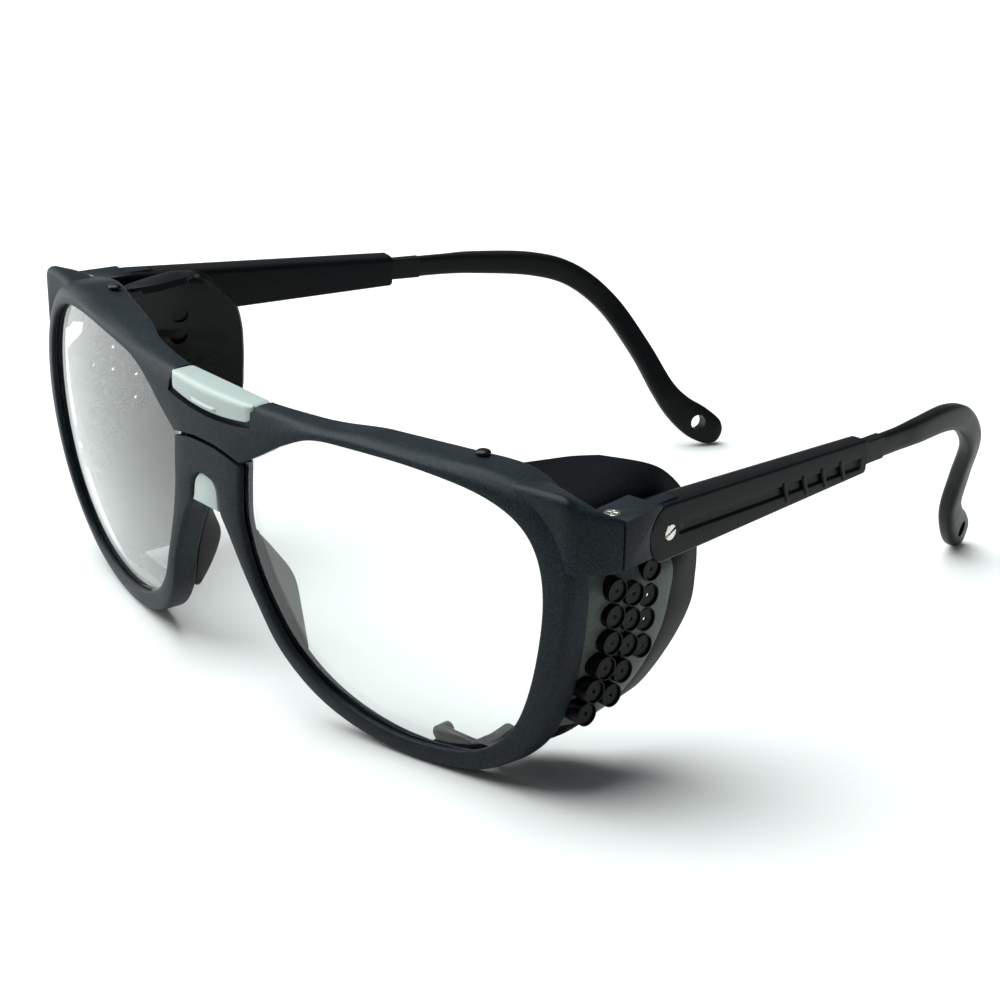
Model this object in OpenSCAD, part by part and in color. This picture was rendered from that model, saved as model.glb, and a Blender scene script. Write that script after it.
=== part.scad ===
// Welding glasses with a split moulded front, vented side shields and telescoping temples.
// The glasses stand on their two rims and two ear tips. X runs to the wearer's left, Y to the
// rear and Z up, and the wearer's left side is mirrored to make the right.

/* [Front] */
// Width of each lens opening
lens_w = 54.6; // [50:0.2:60]
// Height of each lens opening
lens_h = 45.5; // [40:0.5:50]
// Distance between the two lens openings across the bridge
nose_gap = 17.2; // [15:0.2:20]
// Radius of the front's sideways wrap
wrap_r = 155; // [120:1:220]
// Radius of the front's up-and-down bulge
bulge_r = 102; // [80:1:200]
// Front-to-back depth of a rim
rim_depth = 4.6; // [4.4:0.1:5.4]
// Width of a rim below the lens
rim_low = 3.4; // [2.6:0.1:4]
// Width of a rim beside the temple
rim_side = 3.7; // [3:0.1:4.4]
// Width of the brow bar above the lens
brow_w = 2.1; // [1.9:0.1:2.8]
// Depth of the brow shelf at its widest
shelf_depth = 9.6; // [7:0.1:11]
// Thickness of the brow shelf
shelf_t = 1.2; // [1:0.1:1.3]
// How far the shelf slopes down for each millimetre of its depth
shelf_fall = 0.15; // [0:0.01:0.2]
// Width of the slit that splits the bridge
split_gap = 0.6; // [0.4:0.1:1]
// Half width of the notch at the top of the nose opening
notch_half = 3; // [2.4:0.1:3.6]

/* [Lens] */
// Thickness of a lens
lens_t = 2.2; // [1.8:0.1:2.4]
// Depth of the lens groove in the rim
groove_d = 1; // [0.8:0.1:1.2]
// Front lip of the rim ahead of the groove
lip_t = 1.2; // [1:0.1:1.3]

/* [Bridge clip] */
// Width of the bridge clip
clip_w = 21; // [16:0.5:24]
// Wall thickness of the bridge clip
clip_t = 0.9; // [0.7:0.1:1.2]
// Height of the clip's front lip
clip_lip = 3.6; // [2.5:0.1:4.5]
// Depth of the seat that the clip's lip lies in
clip_seat = 0.9; // [0.6:0.1:1]

/* [Hinge] */
// Distance from a lens opening out to the hinge screw beside it
hinge_out = 3.6; // [2.8:0.1:4.8]
// Height of a hinge block
block_h = 7.5; // [7:0.1:7.8]
// Thickness of a hinge block outboard of its screw
block_out = 3.6; // [3.4:0.1:4]
// Radius of the round front end of a hinge block
ear_r = 2.5; // [2.3:0.1:2.7]
// Height of the frame's hinge lug
lug_h = 2.6; // [2:0.1:3]
// Radius of the hinge screw's shank
hinge_screw_r = 0.7; // [0.5:0.05:0.8]
// Radius of the pivot screw's shank
pivot_screw_r = 0.7; // [0.5:0.05:0.8]
// Radius of the screws' heads
screw_head_r = 1.2; // [1.1:0.05:1.5]

/* [Temple] */
// Length of a sleeve behind its pivot
sleeve_len = 51.2; // [50:0.2:56]
// Height of a sleeve at its front
sleeve_h = 8.6; // [8.4:0.1:9.2]
// Height of a sleeve at its rear end
sleeve_rear_h = 5.5; // [5.3:0.1:6.4]
// Thickness of a sleeve
sleeve_t = 4.8; // [4.7:0.1:5.2]
// Thickness of a sleeve at its rear end
sleeve_rear_t = 3.6; // [3.5:0.1:4.4]
// Thickness of each cheek of the sleeve's fork
cheek_t = 1.15; // [1.1:0.05:1.3]
// Inward turn of the temples
toe_in = 9.5; // [8:0.5:11]
// Downward slope of the temples
slope = 2.9; // [2:0.1:5]
// Height of the ear piece's sliding bar
bar_h = 3.8; // [3.4:0.1:4]
// Thickness of the ear piece's sliding bar
bar_t = 2; // [1.6:0.1:2.1]
// Number of click ribs on a sleeve
click_ribs = 4; // [2:1:5]
// Distance between click ribs, which is one step of length
click_step = 5.1; // [4.5:0.1:5.3]
// Radius of the cord hole in an ear tip
cord_hole_r = 1.5; // [1:0.1:1.8]

/* [Side shield] */
// How far a side shield reaches to the rear
shield_len = 29.8; // [26:0.2:32]
// Wall thickness of a side shield
shield_t = 1.2; // [1:0.1:1.4]
// Outer radius of a vent
vent_r = 1.85; // [1.5:0.05:1.9]
// Height of a vent's collar above the shield
vent_h = 1.1; // [0.8:0.1:1.3]

/* [Hidden] */
$fn = 48;

// Clearances, and a length that takes every cut right through
run_gap = 0.05;
side_gap = 0.15;
lens_gap = 0.06;
through = 20;

// Front: the lens openings stand on the bottom rim, and the bridge is the foremost place
sill_z = rim_low + 0.12;
brow_z = sill_z + lens_h + brow_w;
side_x = nose_gap / 2 + lens_w;
bulge_z = sill_z + 0.72 * lens_h;
bridge_y = -19.2;
middle_y = 53.1;
steps_a_span = 4;
edge_r = 0.5;

// Height of the slit, above the opening's bottom, at the lens and in the middle
split_low = sill_z + 0.81 * lens_h;
split_mid = split_low + 1.3;
split_arch = 0.5;
notch_top = split_mid - 5.2;

function front_y(x, z) =
    bridge_y + x * x / (2 * wrap_r) + (z - bulge_z) * (z - bulge_z) / (2 * bulge_r);

// Curve through a list of points: a cubic in each span, with slopes from its neighbours
function curve(p, s) =
    let (n = len(p), i = min(floor(s), n - 2), t = s - i,
         a = p[max(i - 1, 0)], b = p[i], c = p[i + 1], d = p[min(i + 2, n - 1)])
    0.5 * (2 * b + (c - a) * t + (2 * a - 5 * b + 4 * c - d) * t * t
           + (3 * b - a - 3 * c + d) * t * t * t);

// Lens outline, as shares of the opening's width and height, from the slit's lower side down the
// nose, round the bottom and the temple side, and back over the top to the slit's upper side
outline = [
    [0, 0.803], [0, 0.75], [0, 0.69], [0, 0.65], [0.003, 0.61], [0.012, 0.56], [0.03, 0.48],
    [0.075, 0.35], [0.15, 0.195], [0.265, 0.08], [0.42, 0.012], [0.59, 0], [0.76, 0.045],
    [0.885, 0.17], [0.96, 0.36], [1, 0.6], [0.99, 0.78], [0.93, 0.9], [0.81, 0.97],
    [0.62, 1], [0.42, 1], [0.27, 0.985], [0.16, 0.93], [0.085, 0.875], [0.035, 0.84],
    [0.004, 0.817]
];
// Rim width at each outline point, used where the outer edge isn't given below
rim_widths = [
    0, 0, 0, 0, 0, 0, 0, 2.4, 2.9, rim_low, rim_low, rim_low, rim_low, rim_low, rim_side - 0.1,
    rim_side, rim_side + 0.4, 4.4, 3.2, brow_w, brow_w, brow_w, 0, 0, 0, 0
];
// Outer edge where it follows the middle, the notch or the straight brow
outer_low = [
    [0, split_mid - split_gap / 2], [0, (split_mid + notch_top) / 2], [0, notch_top],
    [notch_half * 0.8, notch_top - 1], [notch_half, notch_top - 3.2],
    [notch_half + 0.4, notch_top - 5.4], [notch_half + 2.7, notch_top - 8.8]
];
outer_top = [
    [clip_w / 2 + 0.5, brow_z - 1], [0, brow_z - 1], [0, brow_z - 5], [0, split_mid + split_gap / 2]
];
// Depth of the rim's rear face, and of the shelf, at each outline point
bridge_depth = rim_depth - 0.3;
shelf_depths = [
    bridge_depth, bridge_depth, bridge_depth, bridge_depth, bridge_depth, rim_depth, rim_depth,
    rim_depth, rim_depth, rim_depth, rim_depth, rim_depth, rim_depth, rim_depth, rim_depth,
    rim_depth, rim_depth, rim_depth + 1.6, shelf_depth, shelf_depth - 0.3, shelf_depth - 1.8,
    rim_depth + 1.2, bridge_depth, bridge_depth, bridge_depth, bridge_depth
];
// How far the outer edge of the brow leans back, at each outline point
leans = [
    0, 0, 0, 0, 0, 0, 0, 0, 0, 0, 0, 0, 0, 0, 0, 0, 0.4, 1.2, 1.8, 2, 1.8, 1.2, 0.6, 0.3, 0, 0
];
last = len(outline) - 1;
first_top = len(outline) - len(outer_top);

function opening(s) =
    let (p = curve(outline, s)) [nose_gap / 2 + lens_w * p.x, sill_z + lens_h * p.y];
function outward(i) =
    let (a = opening(max(i - 0.5, 0)), b = opening(min(i + 0.5, last)), t = b - a)
    [t.y, -t.x] / norm(t);
outer_points = [
    for (i = [0:last])
        i < len(outer_low) ? outer_low[i]
        : i >= first_top ? outer_top[i - first_top]
        : opening(i) + rim_widths[i] * outward(i)
];
function outer(s) = let (q = curve(outer_points, s)) [max(q.x, 0), min(q.y, brow_z)];
function is_middle(s) = s <= 2 || s >= first_top + 1;

// One section of the front, as points around it: the lip, the face, the outer edge, the shelf,
// the rear and the lens groove
groove_front = lip_t;
groove_back = lip_t + lens_t + 2 * lens_gap;
function section(s) =
    let (p = opening(s), q = outer(s), w = norm(q - p), d = (q - p) / w,
         back = s < 5 || s > 21 ? bridge_depth : rim_depth,
         deep = max(curve([for (v = shelf_depths) [v]], s)[0], back),
         round_q = is_middle(s) ? 0 : edge_r,
         fall = is_middle(s) ? 0 : shelf_fall * max(0, deep - back - 0.6),
         lean = curve([for (v = leans) [v]], s)[0],
         near_slit = max(0, 1 - s, 1 - (last - s)),
         place = function (f, y) let (g = p + d * f)
             [g.x, front_y(g.x, g.y) + lean * pow(max(0, f - groove_d) / (w - groove_d), 2)
                       * max(0, 1 - y / 4) + y,
              g.y + split_arch * near_slit * sin(180 * f / w)])
    [
        place(0, edge_r), place(edge_r, 0), place(w * 0.36, 0), place(w * 0.68, 0),
        place(w - edge_r, 0), place(w, round_q), place(w - fall, deep - round_q),
        place(w - fall - edge_r, deep), place(w - fall - shelf_t, deep),
        place(w - shelf_t - 0.2, back),
        place(edge_r, back), place(0, back - edge_r), place(0, groove_back),
        place(groove_d, groove_back), place(groove_d, groove_front), place(0, groove_front)
    ];

stations = [for (i = [0:last * steps_a_span]) i / steps_a_span];
rings = [for (s = stations) section(s)];
ring_n = len(rings[0]);
half_n = ring_n * len(stations);

// Skin of both halves as one closed shape: the right half shares the points on the middle line
function on_middle(i, k) = is_middle(stations[i]) && (k == 5 || k == 6);
function skin_point(half, i, k) =
    i * ring_n + k + (half == 1 && !on_middle(i, k) ? half_n : 0);
function skin_faces(half) = [
    for (i = [0:len(stations) - 2], k = [0:ring_n - 1])
        let (m = (k + 1) % ring_n, a = skin_point(half, i, k), b = skin_point(half, i, m),
             c = skin_point(half, i + 1, m), d = skin_point(half, i + 1, k))
        if (!(k == 5 && on_middle(i, 5) && on_middle(i + 1, 5)))
            each half == 0 ? [[b, a, d], [b, d, c]] : [[a, b, d], [d, b, c]]
];
function skin_cap(half, i) = [for (k = [0:ring_n - 1]) skin_point(half, i, k)];
function turned(v) = [for (k = [len(v) - 1:-1:0]) v[k]];
module front_skin() {
    end = len(stations) - 1;
    polyhedron(
        points = [each each rings, each [for (r = rings, p = r) [-p.x, p.y, p.z]]],
        faces = concat(
            skin_faces(0), [skin_cap(0, 0), turned(skin_cap(0, end))],
            skin_faces(1), [turned(skin_cap(1, 0)), skin_cap(1, end)]
        )
    );
}

// Loft through rings of points, closed at both ends
module loft(loft_rings) {
    n = len(loft_rings[0]);
    m = len(loft_rings);
    polyhedron(
        points = [each each loft_rings],
        faces = concat(
            [[for (k = [0:n - 1]) k], [for (k = [n - 1:-1:0]) (m - 1) * n + k]],
            [for (i = [0:m - 2], k = [0:n - 1])
                let (a = i * n + k, b = i * n + (k + 1) % n)
                each [[b, a, a + n], [b, a + n, b + n]]]
        )
    );
}

// Everything is drawn about the front and then moved so that the middle of its length is at y = 0
module placed() { translate([0, -middle_y, 0]) children(); }
module both_sides() {
    children();
    mirror([1, 0, 0]) children();
}
module left_side() { placed() children(); }
module right_side() { placed() mirror([1, 0, 0]) children(); }

// Hinge: the block turns about an upright screw through the frame's lug
// and stands a set way down from the brow and back from the front's face
block_z = brow_z - 12.12;
block_top = block_z + block_h;
lug_z = block_z + block_h / 2;
hinge_x = side_x + hinge_out;
hinge_y = front_y(side_x, lug_z) + 9.71;
lug_r = ear_r - 0.3;
lug_root = 4.1;
lug_gap = 0.1;

// Corners of the end piece from the rim to the crease: front bottom, front middle, front top,
// top front, top rear and bottom rear, each set out from the hinge screw and the brow
end_bottom = -12.42;
crease = -0.95;
end_rows = [
    [[-1.8, -8, end_bottom], [-4.1, -8.6, -6.72], [-10.2, -10.6, -1.72],
     [-11.2, -9.8, -1.12], [-11.8, -3.4, -1.92], [-2.4, -4, end_bottom]],
    [[0, -7.8, end_bottom], [-0.6, -8.3, -7.12], [-1.4, -8.9, -1.62],
     [-2.1, -8, -0.72], [-4.4, -5, -1.42], [-1.4, -3, end_bottom]],
    [[1.6, -6.2, end_bottom], [1.4, -6.6, -7.52], [0.6, -7.1, -2.62],
     [0, -6.2, -1.92], [-2, -3.7, -2.62], [-0.4, -2.7, end_bottom]],
    [[3.1, -3.6, end_bottom], [3, -3.8, -8.12], [2.7, -3.9, -3.92],
     [2.2, -3.2, -3.32], [0.2, -2.6, -3.72], [1, -2.2, end_bottom]],
    [[3.65, crease, end_bottom], [3.65, crease, -8.32], [3.55, crease, -4.92],
     [3.1, crease, -4.42], [1.9, crease, -4.47], [1.9, crease, end_bottom]]
];
module end_piece() {
    translate([hinge_x, hinge_y, brow_z])
        loft([for (s = [0:0.25:4]) [for (k = [5:-1:0]) curve([for (r = end_rows) r[k]], s)]]);
}

// Seat of the bridge clip: a straight bar, as wide as the clip and a gap on either side
clip_front = front_y(0, 47.5) - 0.1;
clip_back = clip_front + 4.9;
clip_top = brow_z - 0.9;
seat_top = clip_top - clip_t - lens_gap;
module clip_seat_cut() {
    w = clip_w + 2 * side_gap;
    lip_bottom = clip_top - clip_lip - 1.2;
    translate([-w / 2, clip_front - through, lip_bottom])
        cube([w, through + clip_seat + run_gap, through]);
    translate([-w / 2, clip_front - through, seat_top]) cube([w, 2 * through, through]);
    translate([-w / 2, clip_back - clip_t - lens_gap, lip_bottom]) cube([w, through, through]);
    translate([-tail_half - side_gap, clip_back - clip_t - lens_gap, tail_bottom - 1])
        cube([2 * tail_half + 2 * side_gap, through, through]);
}

peg = [side_x - 16, front_y(side_x - 16, brow_z) + 7.334];
peg_r = 0.9;
peg_top = brow_z + 0.5;
module frame_front() {
    color([0.27, 0.28, 0.3]) placed() difference() {
        union() {
            front_skin();
            both_sides() difference() {
                end_piece();
                translate([hinge_x, hinge_y, block_z - through])
                    cylinder(r = ear_r + side_gap, h = 2 * through);
            }
            both_sides() translate([hinge_x, hinge_y, lug_z - lug_h / 2]) {
                cylinder(r = lug_r, h = lug_h);
                translate([-lug_r, -lug_root, 0]) cube([2 * lug_r, lug_root, lug_h]);
            }
        }
        both_sides() translate([hinge_x, hinge_y, lug_z - lug_h])
            cylinder(r = hinge_screw_r + run_gap, h = 2 * lug_h);
        both_sides() translate([peg.x, peg.y, brow_z - 4])
            cylinder(r = peg_r + run_gap, h = through);
        clip_seat_cut();
    }
}

// Clip: a cap over the brow bar with a lip in front, a lip behind and a tail behind the bridge
tail_half = 2.4;
tail_bottom = notch_top - 5;
module bridge_clip() {
    color([0.78, 0.8, 0.8]) placed() {
        difference() {
            translate([-clip_w / 2, clip_front, clip_top - clip_lip])
                cube([clip_w, clip_back - clip_front, clip_lip]);
            translate([-clip_w, clip_front + clip_t, clip_top - clip_lip - 1])
                cube([2 * clip_w, clip_back - clip_front - 2 * clip_t, clip_lip + 1 - clip_t]);
            translate([-clip_w, clip_front, clip_top]) rotate([45, 0, 0])
                cube([2 * clip_w, 0.9, 0.9], center = false);
        }
        translate([-tail_half, clip_back - clip_t, tail_bottom])
            cube([2 * tail_half, clip_t, clip_top - 1 - tail_bottom]);
        translate([-2.5, clip_front - 0.25, clip_top - clip_lip + 0.4]) cube([5, 0.5, 0.5]);
    }
}

// Insert: a pale plug that fills the top of the notch, a little behind the bridge's face
insert_front = front_y(0, notch_top) + 0.35;
insert_back = clip_back - clip_t - 2 * lens_gap;
insert_half = [for (s = [2:0.25:5]) let (q = outer(s)) [max(0, q.x - run_gap), q.y - run_gap]];
module bridge_insert() {
    color([0.78, 0.8, 0.8]) placed() translate([0, insert_back, 0]) rotate([90, 0, 0])
        linear_extrude(height = insert_back - insert_front)
            polygon(concat(insert_half, [for (k = [len(insert_half) - 1:-1:1])
                [-insert_half[k].x, insert_half[k].y]]));
}

// Lens: a curved plate whose edge lies in the groove
lens_rings = 4;
function lens_edge(s) =
    let (p = opening(s), q = outer(s)) p + (q - p) / norm(q - p) * (groove_d - lens_gap);
lens_mid = [nose_gap / 2 + lens_w * 0.52, sill_z + lens_h * 0.52];
lens_loop = [for (i = [0:last * 2]) if (i != 1) lens_edge(i / 2)];
function lens_point(i, k, y) =
    let (g = lens_mid + (lens_loop[i] - lens_mid) * k / lens_rings)
    [g.x, front_y(g.x, g.y) + y, g.y];
module lens() {
    n = len(lens_loop);
    front_at = lip_t + lens_gap;
    function at(side, k, i) = k == 0 ? side : 2 + (side * lens_rings + k - 1) * n + i % n;
    points = concat(
        [for (y = [front_at, front_at + lens_t])
            [lens_mid.x, front_y(lens_mid.x, lens_mid.y) + y, lens_mid.y]],
        [for (y = [front_at, front_at + lens_t], k = [1:lens_rings], i = [0:n - 1])
            lens_point(i, k, y)]
    );
    polyhedron(
        points = points,
        faces = concat(
            [for (i = [0:n - 1]) [at(0, 0, 0), at(0, 1, i + 1), at(0, 1, i)]],
            [for (i = [0:n - 1]) [at(1, 0, 0), at(1, 1, i), at(1, 1, i + 1)]],
            [for (k = [1:lens_rings - 1], i = [0:n - 1])
                each [[at(0, k, i), at(0, k + 1, i + 1), at(0, k + 1, i)],
                      [at(0, k, i), at(0, k, i + 1), at(0, k + 1, i + 1)]]],
            [for (k = [1:lens_rings - 1], i = [0:n - 1])
                each [[at(1, k, i), at(1, k + 1, i), at(1, k + 1, i + 1)],
                      [at(1, k, i), at(1, k + 1, i + 1), at(1, k, i + 1)]]],
            [for (i = [0:n - 1])
                each [[at(0, lens_rings, i), at(1, lens_rings, i + 1), at(1, lens_rings, i)],
                      [at(0, lens_rings, i), at(0, lens_rings, i + 1), at(1, lens_rings, i + 1)]]]
        )
    );
}

// Nose pad: a soft crescent behind the nose side of the rim. At five stations along the rim: how
// far it stands back, and where its ridge lies from the opening (0) to the rim's outer edge (1)
pad_at = [5.4, 6.1, 6.75, 7.4, 8.1];
pad_back = [0.5, 2.1, 3.9, 2.9, 0.8];
pad_ridge = [0.45, 0.38, 0.6, 0.72, 0.8];
pad_nose = [0.8, 0.92, 0.94, 0.94, 0.94];
function pad_corner(i, share, back) =
    let (p = opening(pad_at[i]), g = p + (outer(pad_at[i]) - p) * share)
    [g.x, front_y(g.x, g.y) + rim_depth + back, g.y];
pad_rows = [for (i = [0:4]) [
    pad_corner(i, pad_nose[i], run_gap), pad_corner(i, pad_ridge[i] + 0.2, pad_back[i]),
    pad_corner(i, pad_ridge[i] - 0.2, pad_back[i]), pad_corner(i, 0.08, run_gap)
]];
function pad_ring(s) =
    let (c = [for (k = [0:3]) curve([for (r = pad_rows) r[k]], s)])
    [for (k = [0:15])
        let (a = floor(k / 4), t = (k % 4) / 4, p0 = c[(a + 3) % 4], p1 = c[a], p2 = c[(a + 1) % 4],
             p3 = c[(a + 2) % 4])
        a == 3 ? p1 + (p2 - p1) * t : curve([p0, p1, p2, p3], 1 + t)];
module nose_pad() {
    loft([for (s = [0:0.25:4]) pad_ring(s)]);
}

// Side shield: ribs run from the rim to the turned-in rear edge, from the roof's inner edge down
// to the bottom. They are drawn for one size of front and follow the real side, reach and brow
drawn = [63.2, 29.8, 51.12];
fit = [side_x / drawn.x, shield_len / drawn.y, brow_z / drawn.z];
shield_ribs = [
    [[49.8, 0, 49.2], [50.2, 6, 48.8], [51, 10.2, 48.6], [52.4, 14.2, 48.3]],
    [[54.6, 0, 47.4], [56.2, 8.4, 47.8], [57.4, 14.4, 47.9], [57, 19.4, 47.3]],
    [[59.6, 0, 45.4], [60.8, 8.6, 45.8], [60.6, 17, 45.5], [57.8, 23.4, 44.8]],
    [[62.4, 0, 42.4], [62.2, 9, 42.2], [61.2, 18.4, 41.4], [57.6, 27.6, 40.2]],
    [[64, 0, 37.5], [63.7, 8.6, 37.3], [62.5, 18.6, 36.7], [57.8, 29.2, 36]],
    [[65.4, 0, 34.6], [65.9, 8, 34.2], [64.2, 18.8, 33.4], [58, 29.8, 32]],
    [[65.4, 0, 29.6], [65.9, 7.6, 29.4], [64.2, 18.3, 28.8], [58, 29.8, 27.4]],
    [[64.8, 0, 25], [65.4, 7, 24.8], [64, 17.2, 24.2], [57.8, 29.2, 22.4]],
    [[63.4, 0, 20], [64.4, 6, 19.8], [63.4, 14.6, 18.9], [57.2, 26, 16.6]],
    [[61.4, 0, 15], [62.6, 5, 14.8], [61.6, 11.4, 13.8], [55.8, 21.4, 10.8]],
    [[59, 0, 10.9], [60.2, 4, 10.9], [59.4, 8.6, 10.6], [54, 17, 8.2]],
    [[55.4, 0, 7.2], [56.4, 2.8, 7.2], [55.8, 6.8, 7], [51.4, 13.8, 5.6]],
    [[50.4, 0, 4.6], [50.8, 1.8, 4.6], [50.4, 5, 4.4], [48, 10.2, 4]],
    [[45.4, 0, 3.2], [45.4, 0.8, 3.3], [45.2, 2.6, 3.4], [44.4, 5.4, 3.6]]
];
// How far each rib starts behind the rim: at the roof it starts behind the shelf and the end piece
function shield_behind(i) =
    0.6 + 6.4 * pow(max(0, 1 - i / 4), 1.5) + 2.3 * max(0, min(1, 5 - i)) * min(1, i / 2);
shield_mid = [50 * fit.x, 12 * fit.y, 28 * fit.z];
function shield_point(i, t) =
    let (c = [for (k = [0:3]) let (v = curve([for (r = shield_ribs) r[k]], i))
             [v.x * fit.x, v.y * fit.y, v.z * fit.z]],
         start = [c[0].x, front_y(c[0].x, c[0].z) + rim_depth + shield_behind(i), c[0].z])
    curve([start, c[1], c[2], c[3]], 3 * t);
function unit(v) = v / norm(v);
function shield_normal(i, t) =
    let (n = len(shield_ribs) - 1, e = 0.02,
         a = shield_point(min(i + e, n), t) - shield_point(max(i - e, 0), t),
         b = shield_point(i, min(t + e, 1)) - shield_point(i, max(t - e, 0)),
         c = unit(cross(a, b)))
    c * (shield_point(i, t) - shield_mid) < 0 ? -c : c;
module shield_shell() {
    rows = 2 * (len(shield_ribs) - 1);
    cols = 9;
    loft([for (r = [0:rows]) let (i = r / 2)
        concat(
            [for (k = [cols:-1:0]) shield_point(i, k / cols)],
            [for (k = [0:cols])
                shield_point(i, k / cols) - shield_t * shield_normal(i, k / cols)]
        )]);
}
// Vents in each row: the rib they start at, the share along it, the step of that share, how many,
// and how far they stand out further than the first height
vent_drop = 0.28;
vent_rows = [
    [4.63, 0.49, 0, 1, 0], [5.06, 0.24, 0.127, 3, 0.05], [5.87, 0.24, 0.132, 3, 0.1],
    [6.74, 0.24, 0.145, 3, 0.5], [7.5, 0.21, 0.173, 2, 1.2], [8.25, 0.17, 0.2, 2, 1.5],
    [9.06, 0.17, 0, 1, 1.9]
];
module vents(r, above, below) {
    for (row = vent_rows, k = [0:row[3] - 1])
        let (p = shield_point(row[0] + vent_drop * k, row[1] + row[2] * k),
             out = row[4] - 0.22 * k * k)
        translate([p.x - below, p.y, p.z]) rotate([0, 90, 0])
            cylinder(r = r, h = below + out + above, $fn = 24);
}
// Place of the bottom lug, behind the rim
foot_x = side_x - 26.8;
foot_y = front_y(foot_x, 2) + 8.066;
flange_to = 6.6;
module side_shield() {
    difference() {
        union() {
            shield_shell();
            vents(vent_r, vent_h, shield_t + 0.4);
        }
        vents(vent_r - 0.45, through, shield_t + 3);
    }
    // Top flange under the shelf, with the peg that snaps through it
    translate([peg.x, peg.y, peg_top - 4]) linear_extrude(height = 1.03) polygon([
        [-1.9, -1.3], [3.7, -1.3], [4.3, 1.6], [4.3, flange_to], [1.8, flange_to], [1.8, 3.3],
        [-1.9, 3.3]
    ]);
    translate([peg.x, peg.y, peg_top - 3.4]) cylinder(r = peg_r, h = 3.4);
    translate([peg.x, peg.y, peg_top - 0.85]) cylinder(r = peg_r + 0.3, h = 0.55);
    // Bottom lug behind the rim
    translate([foot_x, foot_y, 0.8]) rotate([0, 0, 7]) {
        cube([13, 1.2, 2.4]);
        translate([9, 0, 0]) cube([4, 1.2, 3.8]);
        rotate([-90, 0, 0]) translate([0, -1.2, 0]) cylinder(r = 1.2, h = 2.6);
    }
}

// Frames of the temple: about the hinge, with u to the outside and v to the rear, and about the
// pivot, with v along the sleeve
pivot_v = 9.2;
pivot_z = block_z + 2.8;
module hinge_frame() { translate([hinge_x, hinge_y, 0]) rotate([0, 0, toe_in]) children(); }
module sleeve_frame() {
    hinge_frame() translate([0, pivot_v, pivot_z]) rotate([-slope, 0, 0]) children();
}
// Turns an upright shape so that it points outward
module across(from) { translate([from, 0, 0]) rotate([0, 90, 0]) children(); }

cheek_r = sleeve_h / 2 + 0.4;
tongue_r = cheek_r + side_gap + 0.25;
sleeve_in = block_out - sleeve_t;
tongue_in = sleeve_in + cheek_t + side_gap;
tongue_out = block_out - cheek_t - side_gap;
block_plan = [
    [-ear_r, 0.2], [0, 0.2], [ear_r * 0.8, -ear_r * 0.45], [block_out, -1.25],
    [block_out, pivot_v - 2.2], [-ear_r, pivot_v - 2.2]
];

module hinge_block() {
    color([0.22, 0.23, 0.24]) hinge_frame() difference() {
        union() {
            difference() {
                translate([0, 0, block_z]) {
                    linear_extrude(height = block_h) polygon(block_plan);
                    cylinder(r = ear_r, h = block_h);
                }
                translate([0, pivot_v, pivot_z]) across(-10)
                    cylinder(r = cheek_r + side_gap, h = 20);
            }
            intersection() {
                translate([0, pivot_v, pivot_z]) across(tongue_in)
                    cylinder(r = tongue_r, h = tongue_out - tongue_in);
                translate([-5, 0, block_z + 0.3]) cube([10, 20, block_h - 0.6]);
            }
        }
        // Slot in which the frame's lug turns, open to the front and the inside
        translate([-9, -9, lug_z - lug_h / 2 - lug_gap])
            cube([9 + lug_r + side_gap, 9 + lug_r + side_gap, lug_h + 2 * lug_gap]);
        translate([0, 0, block_z - 1]) cylinder(r = hinge_screw_r + run_gap, h = block_h + 2);
        translate([0, 0, block_top - 0.75]) cylinder(r = screw_head_r + run_gap, h = 2);
        translate([0, pivot_v, pivot_z]) across(-10)
            cylinder(r = pivot_screw_r + run_gap, h = 20);
    }
}
module hinge_screw() {
    color([0.8, 0.8, 0.78]) hinge_frame() translate([0, 0, block_top]) difference() {
        union() {
            translate([0, 0, -0.7]) cylinder(r = screw_head_r, h = 0.75);
            translate([0, 0, -block_h]) cylinder(r = hinge_screw_r, h = block_h);
        }
        for (a = [0, 90]) rotate([0, 0, a + 20]) translate([-0.75, -0.16, -0.35])
            cube([1.5, 0.32, 1]);
    }
}

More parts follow.
